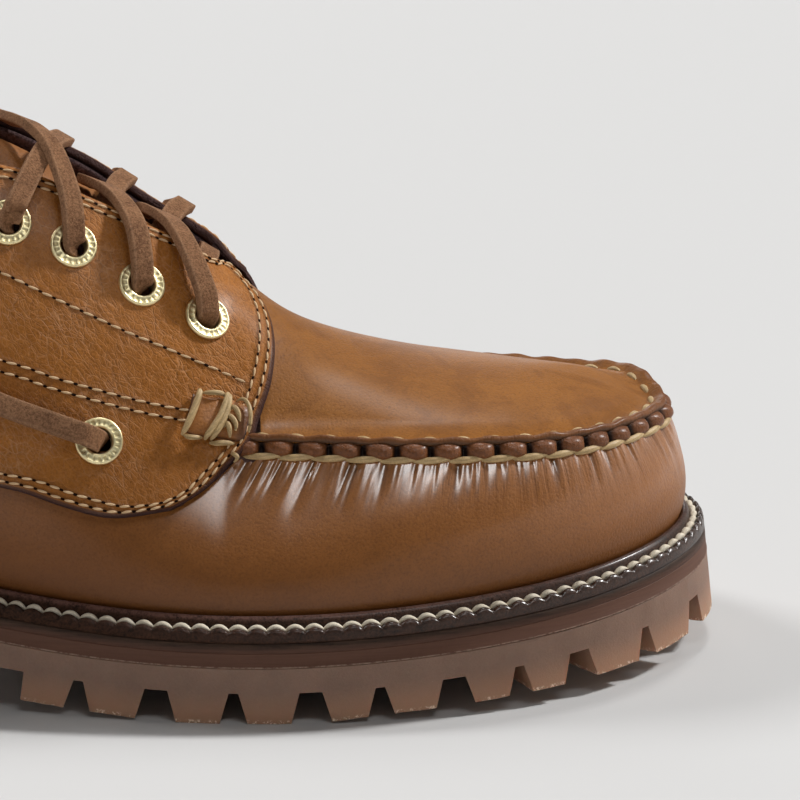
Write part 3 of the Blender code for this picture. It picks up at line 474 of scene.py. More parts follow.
def pull_up_leather(finish, pale, deep, shadow):
    """Colour, gloss and grain of waxed leather: paler and darker in random patches, with specks.
    """
    broad = finish.noise(34, 3, 0.55, 0.6)
    mottle = finish.noise(6, 5, 0.62, 1.2)
    speck = finish.noise(0.5, 3, 0.75)
    shade = (broad * 0.8 + mottle * 0.7 + speck * 0.35 - 0.42).limit()
    colour = finish.blend(shade, deep, pale)
    colour = finish.blend(speck.step(0.56, 0.30) * 0.34, colour, shadow)
    pores = finish.cells(0.8).step(0.0, 0.6)
    relief = pores * 0.05 + speck * 0.12 + mottle * 0.10
    gloss = 0.33 + mottle * 0.14 + speck * 0.14
    return colour, gloss, relief


COGNAC_PALE, COGNAC_DEEP, COGNAC_SHADOW = (0.43, 0.158, 0.032), (0.245, 0.082, 0.013), \
    (0.090, 0.028, 0.006)
vamp_finish = Finish("vamp leather", Coat_Roughness=0.22, Coat_IOR=2.4, Specular_IOR_Level=0.2)
colour, gloss, relief = pull_up_leather(vamp_finish, COGNAC_PALE, COGNAC_DEEP, COGNAC_SHADOW)
fold = vamp_finish.mark("fold")                 # mm that the puckers stand in or out
# Painted shade in the puckers' creases and a painted highlight on their swells.
colour = vamp_finish.blend(fold.step(0.05, -0.35) * 0.75, colour, COGNAC_SHADOW)
colour = vamp_finish.blend(fold.step(0.05, 0.4) * 0.30, colour, (0.46, 0.19, 0.06))
height = vamp_finish.mark("height")             # 0 at the welt, 1 at the seam
# Painted shade: the wall is coloured darker towards the welt, where less light reaches it.
colour = vamp_finish.blend(height.step(0.72, 0.05) * 0.62, colour, (0.13, 0.045, 0.012))
# Painted shade: the wall is coloured darker towards the heel, under the facing.
rearward = vamp_finish.place(0).step(0.085, 0.0)
colour = vamp_finish.blend(rearward * 0.50, colour, (0.11, 0.036, 0.009))
pleat, drop = vamp_finish.mark("pleat"), vamp_finish.mark("drop")   # mm round and mm down
drawn = vamp_finish.laid_flat(pleat, drop * 0.07)
draw = vamp_finish.noise(0.95, 3, 0.6, 0.15, drawn)
draw_fine = vamp_finish.noise(0.5, 3, 0.6, 0.1, drawn)
hold = drop.step(15, 0.5) * vamp_finish.mark("gathered")
relief = relief + (draw * 0.50 + draw_fine * 0.16) * hold
# Painted highlight on the crests of the fine drawn wrinkles and painted shade in their troughs.
colour = vamp_finish.blend((draw * 1.6 - 0.35).limit() * hold * 0.35, colour, (0.56, 0.27, 0.13))
colour = vamp_finish.blend(draw.step(0.46, 0.30) * hold * 0.45, colour, COGNAC_SHADOW)
vamp_leather = vamp_finish.done(colour, gloss, relief,
                               (0.10 + height.step(0.30, 0.92) * 0.75) * (1 - rearward * 0.75))

SEAM_START, SEAM_STOP = 7.05, 15.2         # u where the moccasin seam starts and ends
STITCH = 6.8                               # one seam stitch, mm
FIRST_HOLE_X = 83.1                        # a hole of the seam on the lateral side
VAMP_SINK, VAMP_THICK = 0.15, 1.2          # under the upper's own surface; to its back

seam_u = np.linspace(6.5, 15.9, 2000)
seam_points = upper_surface(seam_u, 1.0)
seam_run = run_along(seam_points)
lateral_half = seam_u < 11
hole_run = np.interp(FIRST_HOLE_X, seam_points[lateral_half, 0], seam_run[lateral_half])
run_start, run_stop = np.interp((SEAM_START, SEAM_STOP), seam_u, seam_run)
first_stitch = int(np.ceil((run_start - hole_run) / STITCH))
last_stitch = int(np.floor((run_stop - hole_run) / STITCH))
holes = hole_run + STITCH * np.arange(first_stitch, last_stitch + 1)   # along seam_run

# Puckers under the seam, one crease and one swell to a stitch: how far each runs down the
# wall in mm and how deep it is, from the bar tack round the toe to the inner side.
PUCKERS = ((17, 0.62), (12, 0.48), (16, 0.60), (10, 0.42), (14, 0.55), (10, 0.40), (13, 0.52),
           (9, 0.36), (12, 0.5), (9, 0.38), (11, 0.46), (8, 0.35), (10, 0.4), (7, 0.32))
SLANT = ((0, -0.50), (25, -0.30), (60, -0.05), (95, 0.16), (240, 0.0))  # run, mm per mm down
chance = np.random.default_rng(1907)
fine = []                                   # run, length, width, height, of each wrinkle
for run in np.arange(run_start - 6, run_stop + 4, 0.5):
    fine.append((run + chance.uniform(-0.4, 0.4), chance.uniform(4, 14),
                 chance.uniform(0.24, 0.50), chance.uniform(-0.27, 0.27)))


def gather(run):
    """1 along the gathered stretch of the seam, fading out past its two ends."""
    return np.clip((run - run_start + 4) / 6, 0, 1) * np.clip((run_stop + 2 - run) / 6, 0, 1)


def slanted(run, down):
    """Place along the seam that a pucker passing here comes down from."""
    return run - np.interp(run - run_start, *np.array(SLANT).T) * np.minimum(down, 22)


def pucker(run, down):
    """How far the wall stands out, in mm, at a place along the seam and mm below it."""
    at = slanted(run, down)
    out = np.zeros(np.broadcast(run, down).shape)
    for k, hole in enumerate(holes):
        length, depth = PUCKERS[k % len(PUCKERS)]
        hole = hole + 0.5 * np.sin(k * 2.3)
        near = abs(at - hole) < STITCH
        t = np.clip(down / length, 0, 1)
        fade = (1 - t) ** 1.6
        offset = (at - hole - 0.9)
        crease = -0.55 * np.exp(-(offset / (0.6 + 0.9 * t)) ** 2)
        swell = 0.42 * np.exp(-((offset + 2.1) / (1.25 + 0.8 * t)) ** 2)
        lower = 0.22 * np.exp(-((offset - 2.3) / (1.0 + 0.8 * t)) ** 2)
        out += near * depth * fade * (crease + swell + lower)
    for centre, length, width, tall in fine:
        near = abs(at - centre) < 3 * width + 0.5
        t = np.clip(down / length, 0, 1)
        out += near * tall * (1 - t) ** 1.3 * np.exp(-((at - centre) / (width * (1 + t))) ** 2)
    return out * gather(run)


dense = np.interp(np.arange(seam_run[0], seam_run[-1], 0.29), seam_run, seam_u)
rest = np.linspace(15.9, 6.5 + PERIOD, 190)[1:-1]
columns = np.concatenate([dense, rest]) % PERIOD
columns = np.roll(columns, -int(np.argmin(columns)))
rows = np.concatenate([np.linspace(0, 0.55, 16)[:-1], np.linspace(0.55, 1, 30)])
wall = upper_surface(columns[:, None], rows[None, :])
out = grid_normals(wall, True)
run = np.interp(columns, seam_u, seam_run)[:, None]
down = np.linalg.norm(wall - wall[:, -1:], axis=2)
stand = pucker(run, down) * ((columns > 6.6) & (columns < 15.8))[:, None]
outer = wall + out * (stand - VAMP_SINK)[..., None]
inner_rows = np.array([44, 34, 24, 14, 5, 0])
inner = wall[:, inner_rows] - out[:, inner_rows] * VAMP_THICK
sections = np.concatenate([outer, inner], axis=1)
fold_mark = np.concatenate([stand, np.zeros(inner.shape[:2])], axis=1)
height_mark = np.concatenate([np.tile(rows, (len(columns), 1)),
                              np.tile(rows[inner_rows], (len(columns), 1))], axis=1)
inside = np.zeros(inner.shape[:2])
pleat_mark = np.concatenate([slanted(run, down), inside], axis=1)
drop_mark = np.concatenate([down, inside + 99], axis=1)
vamp = loft("vamp", sections, vamp_leather, {
    "fold": fold_mark, "height": height_mark, "pleat": pleat_mark, "drop": drop_mark,
    "gathered": np.concatenate([gather(run) * (down < 99), inside], axis=1)}, ring=True)
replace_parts(vamp, "upper")

# ------------------------------------------------------------------ plug
# The smooth panel over the toes, cut from the same hide.  It domes gently, and its raw
# edge stands up beyond the stitches as a low rim with fine wrinkles across it.
plug_finish = Finish("plug leather", Coat_Roughness=0.27, Specular_IOR_Level=0.15)
colour, gloss, relief = pull_up_leather(plug_finish, (0.365, 0.144, 0.029),
                                        (0.215, 0.078, 0.013), COGNAC_SHADOW)
cloud = plug_finish.noise(13, 5, 0.68, 1.0)
colour = plug_finish.blend(cloud.step(0.56, 0.38) * 0.42, colour, (0.150, 0.050, 0.0095))
colour = plug_finish.blend(plug_finish.noise(0.42, 2, 0.6).step(0.36, 0.28) * 0.5, colour,
                           (0.100, 0.036, 0.009))
rim = plug_finish.mark("rim")                   # mm inward from the plug's raw edge
colour = plug_finish.blend(rim.step(3.6, 1.2) * 0.6, colour, (0.13, 0.045, 0.02))
colour = plug_finish.blend(rim.step(0.9, 0.0) * 0.8, colour, (0.09, 0.055, 0.035))
across = plug_finish.mark("across")             # mm along the seam
ripple = plug_finish.noise(1.0, 3, 0.6, 0.0, plug_finish.laid_flat(across, rim * 0.12))
relief = relief + ripple * rim.step(6.5, 1.5) * 0.35
plug_leather = plug_finish.done(colour, gloss + 0.04, relief, 0.17)

throat_x = 50.5
station_x = np.concatenate([np.linspace(throat_x, 112, 250)[:-1],
                            115 - 3 * (1 - np.linspace(0, 1, 60)) ** 2.2])
side_u = np.linspace(6.9, 11, 400)
lateral_u = np.interp(station_x, rib_values(side_u)[:, 3], side_u)
side_u = np.linspace(15.6, 11, 400)
medial_u = np.interp(station_x, rib_values(side_u)[:, 3], side_u)
RIM = ((0.9, 2.95), (0.75, 3.6), (0.95, 4.15), (1.5, 4.3), (2.6, 3.9), (3.5, 3.3), (4.1, 3.05))
PLUG_FLOW = np.concatenate([np.linspace(0.16, 0.9, 30), [1.0]])
RIM_UNDER = ((1.2, 2.75), (3.6, 1.4))      # inward and up from the seam line
FLAT_FROM, HALF_WIDTH, PLUG_THICK = 5.4, 30, 1.6       # the plug inside its rim


def beside_seam(u, inward_mm, up_mm):
    """Points set inward from the seam line and up from it."""
    seam, end = upper_surface(u, 1.0), upper_surface(u, 2.0)
    inward = unit((end - seam) * (1, 1, 0))
    return seam + inward * np.asarray(inward_mm)[..., None] + \
        np.array([0, 0, 1.0]) * np.asarray(up_mm)[..., None]


def plug_half(u):
    """Rows of the plug from its raw edge to the crown, and its underside back again."""
    seam, end = upper_surface(u, 1.0), upper_surface(u, 2.0)
    length = np.linalg.norm(end - seam, axis=1)
    run = np.interp(u, seam_u, seam_run)
    wave = 0.16 * np.sin(2 * np.pi * (run - hole_run) / STITCH) + \
        0.10 * np.sin(2 * np.pi * run / 11.3)
    lead = np.clip(np.minimum(run - run_start, run_stop - run) / 5 + 1, 0, 1)
    rim = [beside_seam(u, a, b * (0.45 + 0.55 * lead) + wave * (b > 3.5))
           for a, b in RIM]
    first = FLAT_FROM / length
    flow = [upper_surface(u, 1 + first + (1 - first) * t) for t in PLUG_FLOW]
    inward_mm = [0, 0.6, 1.1, 1.7, 2.8, 3.7, 4.3] + \
        [FLAT_FROM + HALF_WIDTH * t for t in PLUG_FLOW]
    return np.array(rim + flow), np.array(inward_mm), run


left, inward_mm, left_run = plug_half(lateral_u)
right, _, right_run = plug_half(medial_u)
rows = len(left)
top = np.concatenate([left, right[::-1][1:]])
under_left, under_right = (np.array([beside_seam(u, a, b) for a, b in RIM_UNDER])
                           for u in (lateral_u, medial_u))
pick = [8, 14, 20, 26, 32]
down_mm = np.array([0, 0, PLUG_THICK])
middle_under = [left[k] - down_mm for k in pick] + [left[-1] - down_mm] + \
    [right[k] - down_mm for k in pick[::-1]]
under = np.concatenate([under_left, middle_under, under_right[::-1]])[::-1]
sections = np.concatenate([top, under]).transpose(1, 0, 2)
rim_mark = np.concatenate([inward_mm, inward_mm[::-1][1:], np.full(len(under), 9.0)])
rim_mark = np.tile(rim_mark, (len(station_x), 1))
run_mark = np.concatenate([np.tile(left_run[:, None], (1, rows)),
                           np.tile(right_run[:, None], (1, rows - 1)),
                           np.tile(left_run[:, None], (1, len(under)))], axis=1)
plug = loft("plug", sections, plug_leather,
            {"rim": rim_mark, "across": run_mark})
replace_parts(plug, "upper")

# ------------------------------------------------------------------ moccasin seam
# The wall's gathered edge stands up under the plug's rim as a row of pleated nubs.  A
# waxed linen thread goes round with two needles: thick stitches under the nubs, and a
# second row on top of the plug, down in the groove behind its rim.
nub_finish = Finish("pleated edge", Specular_IOR_Level=0.2, Coat_Roughness=0.3)
colour, gloss, relief = pull_up_leather(nub_finish, (0.27, 0.090, 0.023), (0.135, 0.043, 0.011),
                                        (0.035, 0.012, 0.005))
bulge = nub_finish.mark("bulge")
# Painted shade: the nubs go near black where they tuck into the gaps between them and under the
# rim.
colour = nub_finish.blend(bulge.step(-0.1, -0.9), colour, (0.018, 0.008, 0.005))
wrinkle = nub_finish.noise(0.7, 4, 0.6, 1.5)
nub_leather = nub_finish.done(colour, gloss, relief + wrinkle * 0.36, 0.34)

NUB_FALL = ((0, -1.8), (0.05, -1.3), (0.12, -0.55), (0.2, 0.0), (0.32, 0.5), (0.45, 0.78),
            (0.6, 0.88), (0.72, 0.75), (0.82, 0.40), (0.90, -0.15), (0.96, -0.9), (1.0, -1.8))
NUB_AFTER_HOLE = 0.47                      # the gap's place between two holes
NUB_LOOP = ((0.35, -0.5, 0), (0.1, 0.1, 0.35), (-0.05, 0.55, 0.7), (-0.1, 1.05, 0.93),
            (-0.05, 1.6, 1.0), (0.1, 2.15, 0.92), (0.3, 2.6, 0.7), (0.6, 2.95, 0.4),
            (0.95, 3.15, 0.15), (2.2, 3.1, 0), (2.6, 1.5, 0), (2.2, -0.4, 0))
run = np.arange(run_start - 2.5, run_stop + 3.5, 0.2)
u = np.interp(run, seam_run, seam_u)
phase = (run - hole_run) / STITCH - NUB_AFTER_HOLE
number = np.floor(phase).astype(int)
phase = phase - number
each = np.random.default_rng(55).uniform(-1, 1, (400, 3))[number % 400]
stand = np.interp(phase, *np.array(NUB_FALL).T) + 0.12 * each[:, 0] * np.sin(np.pi * phase)
arch = 0.95 * np.sin(np.pi * phase) ** 0.6 - 0.85 + 0.12 * each[:, 1]
sections = []
marks = []
for inward_at, up_at, share in NUB_LOOP:
    sections.append(beside_seam(u, inward_at - stand * share,
                                up_at + arch * np.interp(up_at, (0.9, 2.4), (0, 1))))
    # Rows tucked into the gaps get low bulge values, which the finish paints as shade.
    marks.append(stand * share + (1 - share) * (-0.6 if inward_at < 1 else -1))
nubs = loft("seam_nubs", np.array(sections).transpose(1, 0, 2), nub_leather,
            {"bulge": np.array(marks).T})
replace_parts(nubs, "upper")

thread_finish = Finish("waxed linen thread", Specular_IOR_Level=0.5, Roughness=0.5)
lay, spin = thread_finish.mark("lay"), thread_finish.mark("spin")
strand = (lay * 0.9 + spin * 6.2832 * 5).sine()
fibre = thread_finish.noise(0.3, 3, 0.6)
dirt = thread_finish.noise(2.0, 3, 0.6)
colour = thread_finish.blend((fibre * 0.8 + dirt * 0.9 - 0.35).limit(), (0.28, 0.165, 0.060),
                             (0.74, 0.53, 0.26))
# Painted shade in the grooves between the twisted plies.
colour = thread_finish.blend(strand.step(-0.2, -1.0) * 0.22, colour, (0.14, 0.09, 0.03))
linen_thread = thread_finish.done(colour, None, strand * 0.02 + fibre * 0.06)


def thread_stitches(name, starts, ends, normals, thick, arch, finish, flat=1.0,
                    rings=13, around=10, lean=0.0):
    """Stitches as one mesh, each a plump lens of thread from start to end."""
    starts, ends, normals = (np.asarray(item, float) for item in (starts, ends, normals))
    t = np.linspace(0, 1, rings)
    turn = np.arange(around) * 2 * np.pi / around
    way = ends - starts
    along = unit(way)
    side = unit(np.cross(normals, along))
    up = np.cross(along, side)
    middle = starts[:, None] + way[:, None] * t[None, :, None] + \
        up[:, None] * (arch * np.sin(np.pi * t) ** 0.75)[None, :, None] + \
        side[:, None] * (lean * (t - 0.5))[None, :, None]
    fat = thick / 2 * np.sin(np.pi * np.clip(t, 0.012, 0.988)) ** 0.5
    ring = side[:, None, None] * np.cos(turn)[None, None, :, None] + \
        up[:, None, None] * np.sin(turn)[None, None, :, None] * flat
    points = middle[:, :, None] + ring * fat[None, :, None, None]
    count = len(starts)
    block = band_faces(rings, around, False, True)
    faces = (np.arange(count)[:, None, None] * rings * around + block[None]).reshape(-1, 4)
    caps = [tuple(range(k * rings * around, k * rings * around + around))[::-1]
            for k in range(count)]
    caps += [tuple(range((k + 1) * rings * around - around, (k + 1) * rings * around))
             for k in range(count)]
    length = np.linalg.norm(way, axis=1)
    lay = np.broadcast_to((length[:, None] * t)[:, :, None], (count, rings, around))
    spin = np.broadcast_to(turn / (2 * np.pi), (count, rings, around))
    return new_piece(name, points, faces.tolist() + caps, finish,
                     {"lay": lay, "spin": spin})


def at_run(run, inward_mm, up_mm):
    return beside_seam(np.interp(run, seam_run, seam_u), inward_mm, up_mm)


start_run, stop_run = holes[:-1] - 0.5, holes[1:] + 0.75
outward = unit(at_run(holes[:-1], -1.0, 0.2) - at_run(holes[:-1], 0.0, 0.0))
lower = thread_stitches("seam_thread_lower", at_run(start_run, 0.15, -0.25),
                        at_run(stop_run, 0.0, 0.35), outward, 1.45, 0.62, linen_thread,
                        0.85)
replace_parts(lower, "upper")
start_run, stop_run = holes[:-1] + 0.9, holes[1:] - 0.9
up = np.tile([0, 0, 1.0], (len(start_run), 1))
upper_row = thread_stitches("seam_thread_upper", at_run(start_run, 3.7, 2.6),
                            at_run(stop_run, 3.7, 2.6), up, 1.3, 0.62, linen_thread)
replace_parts(upper_row, "upper")

# ------------------------------------------------------------------ quarters and lining
# Behind the toe the same hide carries on up to the topline under the outer pieces.  The
# whole inside of the shoe, toe included, shows the flesh side of the leather.
lining_finish = Finish("flesh side lining", Specular_IOR_Level=0.25)
nap = lining_finish.noise(0.6, 4, 0.7)
stain = lining_finish.noise(22, 4, 0.6, 0.5)
colour = lining_finish.blend((nap * 1.6 + stain * 0.8 - 0.75).limit(), (0.035, 0.018, 0.015),
                             (0.16, 0.088, 0.070))
colour = lining_finish.blend(lining_finish.mark("top_edge") * 0.85, colour,
                             lining_finish.blend((nap * 2.4 - 0.7).limit(), (0.018, 0.009, 0.010),
                                                 (0.19, 0.115, 0.115)))
lining_leather = lining_finish.done(colour, 0.75 + nap * 0.2, nap * 0.45)

EDGE_RISE = (      # u, and how far the cut throat edge stands out past v = 2
    (0, 0), (4.7, 0), (5.2, 0.006), (6.1, 0.010), (6.3, 0.032), (6.6, 0.055), (6.83, 0.03),
    (7.0, 0), (15.6, 0), (15.75, 0.03), (15.9, 0.055), (16.6, 0.06), (17.0, 0.095),
    (17.3, 0.095), (17.9, 0), (PERIOD, 0))


def to_edge(u, v):
    """v over the upper's top part, drawn out so that 2 falls on the cut throat edge."""
    rise = np.interp(u, *np.array(EDGE_RISE).T)
    return v + rise * np.clip((v - 1.5) / 0.5, 0, 1)


throat_u = np.concatenate([np.linspace(15.35, PERIOD, 150)[:-1], np.linspace(0, 7.15, 160)])
outer_rows = np.concatenate([[0.98], np.linspace(1.06, 1.94, 16), [1.985]])
inner_rows = np.concatenate([[2.0, 1.985], np.linspace(1.9, 0.04, 24)])
back_rows = np.linspace(0.04, 0.93, 8)
rows_v = np.concatenate([outer_rows, inner_rows, back_rows])
under_plug = np.interp(throat_u, (6.80, 7.15, 15.35, 15.66), (1, 0.5, 0.5, 1))[:, None]
grid_v = np.where(rows_v > 1, 1 + (rows_v - 1) * under_plug, rows_v)
grid = upper_surface(throat_u[:, None], to_edge(throat_u[:, None], grid_v))
stem = upper_surface(throat_u[:, None], np.linspace(0.02, 2, 60))
stem_out = grid_normals(stem)
index = np.clip(np.round((rows_v - 0.02) / 1.98 * 59).astype(int), 1, 58)
lifts = np.concatenate([np.zeros(len(outer_rows)), [-0.8, -1.6],
                        np.full(len(inner_rows) - 2, -WALL), np.full(len(back_rows), -1.25)])
grid = grid + stem_out[:, index] * lifts[None, :, None]
quarters = loft("quarters_and_lining", grid, lining_leather,
                {"top_edge": np.tile((rows_v > 1.96).astype(float), (len(throat_u), 1))})
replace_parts(quarters, "upper")

# ------------------------------------------------------------------ tongue
# One curved piece of softer, more orange leather, skived at its edges.  It is stitched
# under the plug at its lower end and stands up freely out of the throat, to a broad end.
TONGUE_PAIRS = ((5, 17.5), (5.5, 17), (6, 16.5), (6.5, 16), (6.8, 15.7), (7, 15.4),
                (7.4, 15.0), (7.8, 14.6))
TONGUE_DROP, TONGUE_TUCK, TONGUE_THICK = 2.3, 1.5, 2.4    # under the upper; under the plug
TONGUE_END = (     # mm back and up, shares of width and arch, of each section added behind
    (5, 2.0, 0.99, 0.93), (12, 5.0, 0.92, 0.82), (18, 7.5, 0.74, 0.70))


def smooth_run(points, steps):
    """Points on a smooth open curve through the given ones."""
    points = np.array(points, float)
    key = np.arange(len(points))
    at = np.linspace(0, len(points) - 1, (len(points) - 1) * steps + 1)
    return np.column_stack([natural_spline(np.column_stack([key, column]))(at)
                            for column in points.T])


def lifted(u, v, lift):
    """Points over the upper, by this much along its outward normal."""
    step = 0.02
    u, v = np.broadcast_arrays(np.asarray(u, float), np.asarray(v, float))
    around = upper_surface(u + step, v) - upper_surface(u - step, v)
    over = upper_surface(u, v + step) - upper_surface(u, np.maximum(v - step, 0))
    normal = unit(np.cross(around, over))
    return upper_surface(u, v) + normal * np.asarray(lift)[..., None], normal, unit(around)


sections = []
for near, far in TONGUE_PAIRS:
    is_closed = near >= 6.95
    halves = []
    for u in (near, far):
        length = np.linalg.norm(upper_surface(u, 2.0) - upper_surface(u, 1.0))
        last = 4.2 / length
        v = 1 + last + (1 - last) * np.array([0.45, 0.72, 0.985])
        halves.append(lifted(u, v, -TONGUE_DROP - TONGUE_TUCK * is_closed)[0])
    left, right = halves[0], halves[1][::-1]
    if is_closed:
        top = (left[-1] + right[0]) / 2
        section = [left[0], left[1], (left[1] + top) / 2, top, (top + right[1]) / 2, *right[1:]]
    else:
        rise = np.interp(near, (5.0, 5.5, 6.0), (0.32, 0.26, 0.08)) * np.linalg.norm(
            right[0] - left[-1])
        section = [*left, (left[-1] + right[0]) / 2 + np.array([0, 0, rise]), *right]
    sections.append(np.array(section))
last = sections[0]
middle = last[3]
for back, up, width, arch in TONGUE_END:
    sections.insert(0, middle + (last - middle) * (1, width, arch) + np.array([-back, 0, up]))
across = np.array([smooth_run(section, 8) for section in sections])
outer = np.array([smooth_run(across[:, k], 7) for k in range(across.shape[1])])
outer = outer.transpose(1, 0, 2)
out = -grid_normals(outer)
rim_in = np.minimum(np.minimum(np.arange(outer.shape[0])[:, None], np.arange(
    outer.shape[1])[None, :]), np.arange(outer.shape[1])[None, ::-1])
round_off = np.clip(rim_in / 2.0, 0, 1)
thin = 0.9 * (1 - round_off)
out = np.where((out[..., 2:] > 0), out, -out)
upper_skin, under_skin = outer - out * thin[..., None] * 0.5, \
    outer - out * (TONGUE_THICK - thin)[..., None]
tongue_finish = Finish("tongue leather", Coat_Roughness=0.3, Specular_IOR_Level=0.4)
colour, gloss, relief = pull_up_leather(tongue_finish, (0.40, 0.155, 0.036),
                                        (0.28, 0.100, 0.021), COGNAC_SHADOW)
skive = tongue_finish.mark("skive")
colour = tongue_finish.blend(skive.step(1.0, 0.4), colour, (0.07, 0.035, 0.02))
tongue_leather = tongue_finish.done(colour, gloss + 0.06, relief, 0.1 + 0.05 * skive)
sections = np.concatenate([upper_skin, under_skin[:, ::-1]], axis=1)
skive_mark = np.concatenate([np.where(rim_in == 0, 0.0, 1.0), np.full(rim_in.shape, 0.0)], axis=1)
tongue = loft("tongue_leather", sections, tongue_leather,
              {"skive": skive_mark})
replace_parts(tongue, "tongue")

# ------------------------------------------------------------------ facings
# On each side one outer layer holds the lace eyelets and runs back round the heel.  Its
# thick edge is dyed dark and sewn down by two rows of cream thread; two more rows mark
# where the panels join, and one row holds the stay under the eyelets.
LEAN = np.radians(30)
OUTER_LIFT = 2.3                           # outer face of the facing, over the upper
FACING_FOOT = ((41.7, 13.8), (31.3, 11.8), (24.6, 12.6), (16, 15.3), (7.5, 17.8), (-20, 21.8),
               (-50, 25.5), (-85, 28.5), (-112, 31.5))
FOOT_HEEL_V = ((1.0, 0.78), (0.0, 0.98))
FACING_NOSE = {
    "lateral": ((41.7, 13.8), (48.6, 18.3), (53.4, 23.9), (57, 28), (58.4, 31.8), (59.3, 35),
                (60.9, 40), (61.9, 46), (62, 52), (60.4, 59), (56.8, 64.5)),
    "medial": ((41.7, 13.8), (48.6, 18.3), (53.4, 23.9), (57, 28), (58.4, 31.8), (59.3, 35),
               (59.8, 41), (58.8, 47), (57.4, 53), (56.2, 58), (55.2, 62)),
}
THROAT_CORNER = {"lateral": 6.83, "medial": 15.66}     # u where the nose meets the throat
JOIN_ROW = ((-38, 53.5), (-25, 50.5), (-8, 45.8), (10, 41.2), (16, 39.2), (21.5, 37.6),
            (27.5, 36.1), (33.2, 34.8), (39.3, 33.7), (44, 33.1), (51, 32.4))
STAY_ROW = ((-36, 71), (-14, 68.5), (7.2, 60.8), (11.9, 58.7), (17.1, 56.3), (22.3, 54.0),
            (27.6, 51.7), (32.9, 49.5), (38.4, 47.5), (46.5, 44.5), (52, 42.6), (56.3, 40.7))
EDGE_ROWS, JOIN_ROWS = (1.9, 3.95), (-1.1, 1.1)        # mm from the edge and from the join
EDGE_PITCH, STAY_PITCH = 2.9, 2.95                     # one stitch, mm


def lean_view(points, sign):
    """x, and distance up a view that leans back from the side."""
    return np.stack([points[..., 0],
                     -sign * points[..., 1] * np.sin(LEAN) + points[..., 2] * np.cos(LEAN)], -1)


def find_on_upper(outline, sign, lift):
    """u and v of the points over the upper that show at these places of the lean view."""
    outline = np.array(outline, float)
    side_u = np.linspace(0.4, 10.4, 300) if sign < 0 else np.linspace(PERIOD - 0.4, 11.6, 300)
    u = np.interp(outline[:, 0], upper_surface(side_u, 1.0)[:, 0], side_u)
    v = np.full(len(u), 1.2)
    for _ in range(25):
        here = lean_view(lifted(u, v, lift)[0], sign)
        by_u = (lean_view(lifted(u + 0.01, v, lift)[0], sign) - here) / 0.01
        by_v = (lean_view(lifted(u, v + 0.01, lift)[0], sign) - here) / 0.01
        miss = outline - here
        area = by_u[:, 0] * by_v[:, 1] - by_u[:, 1] * by_v[:, 0]
        du = (miss[:, 0] * by_v[:, 1] - miss[:, 1] * by_v[:, 0]) / area
        dv = (by_u[:, 0] * miss[:, 1] - by_u[:, 1] * miss[:, 0]) / area
        u, v = u + np.clip(du, -0.2, 0.2), np.clip(v + np.clip(dv, -0.15, 0.15), 0.03, 1.995)
    return np.column_stack([u, v])


def spread(points, shares):
    """u and v at these shares of the length of a line given in u and v."""
    run = run_along(upper_surface(points[:, 0], points[:, 1]))
    return np.column_stack([np.interp(shares * run[-1], run, column) for column in points.T])


def near_edges(length, step, coarse_after=None, coarse=3.0):
    """Shares of a length: close together at both ends, then an even step."""
    ends = np.array([0, 0.14, 0.32, 0.55, 0.85, 1.3])
    if coarse_after:
        middle = np.concatenate([np.arange(2, coarse_after, step),
                                 np.arange(coarse_after, length - 1.5, coarse)])
    else:
        middle = np.arange(2, length - 1.6, step)
    return np.concatenate([ends, middle, length - ends[::-1]]) / length


def polyline_distance(points, line):
    """Distance in the lean view from each point to a polyline."""
    best = np.full(len(points), 1e9)
    for a, b in zip(line[:-1], line[1:]):
        way = b - a
        t = np.clip(((points - a) @ way) / max(way @ way, 1e-9), 0, 1)
        best = np.minimum(best, np.linalg.norm(points - a - t[:, None] * way, axis=1))
    return best


facing_finish = Finish("facing leather", Coat_Roughness=0.3, Coat_IOR=1.6,
                       Specular_IOR_Level=0.08)
colour, gloss, relief = pull_up_leather(facing_finish, (0.50, 0.188, 0.036),
                                        (0.235, 0.078, 0.0105), COGNAC_SHADOW)
vein_warp = facing_finish.stretch((1.0, 0.5, 0.5), (0, np.radians(38), 0))
sway = facing_finish.node("ShaderNodeTexNoise", {}, {"Vector": vein_warp, "Scale": 260.0,
                                                     "Detail": 3.0}, "Color")
swayed = facing_finish.node("ShaderNodeVectorMath", {"operation": "MULTIPLY_ADD"},
                            {0: sway, 1: (0.0016, 0.0016, 0.0016), 2: vein_warp})
vein = facing_finish.cells(1.75, "DISTANCE_TO_EDGE", swayed).step(0.09, 0.0)
small_vein = facing_finish.cells(0.85, "DISTANCE_TO_EDGE", swayed).step(0.12, 0.0)
patchy = facing_finish.noise(14, 3, 0.55).step(0.38, 0.66)
shift_patch = facing_finish.noise(5, 3, 0.6).step(0.42, 0.62)
lines = vein * (0.4 + patchy * 0.6) * (0.3 + shift_patch * 0.7)
small_lines = small_vein * (0.35 + patchy * 0.65)
pillow = facing_finish.cells(1.6, "F1", swayed)
colour = facing_finish.blend((lines * 0.65 + small_lines * 0.42).limit(), colour,
                             (0.50, 0.235, 0.095))
from_edge, from_join = facing_finish.mark("from_edge"), facing_finish.mark("from_join")
from_stay = facing_finish.mark("from_stay")
dark_edge = facing_finish.mark("from_foot").step(1.45, 0.9)
# Painted shade: the facing is coloured darker towards its bottom.
low = facing_finish.place(2).step(0.058, 0.028)
colour = facing_finish.blend(low * 0.45, colour, (0.13, 0.044, 0.009))
trough = (from_edge - 1.9).size().step(1.0, 0.1) + (from_edge - 3.95).size().step(1.0, 0.1) + \
    (from_join.size() - 1.1).size().step(1.0, 0.1) + from_stay.size().step(1.2, 0.1)
relief = relief - lines * 0.16 - small_lines * 0.12 - pillow * (0.16 + patchy * 0.26) - \
    trough * 0.22
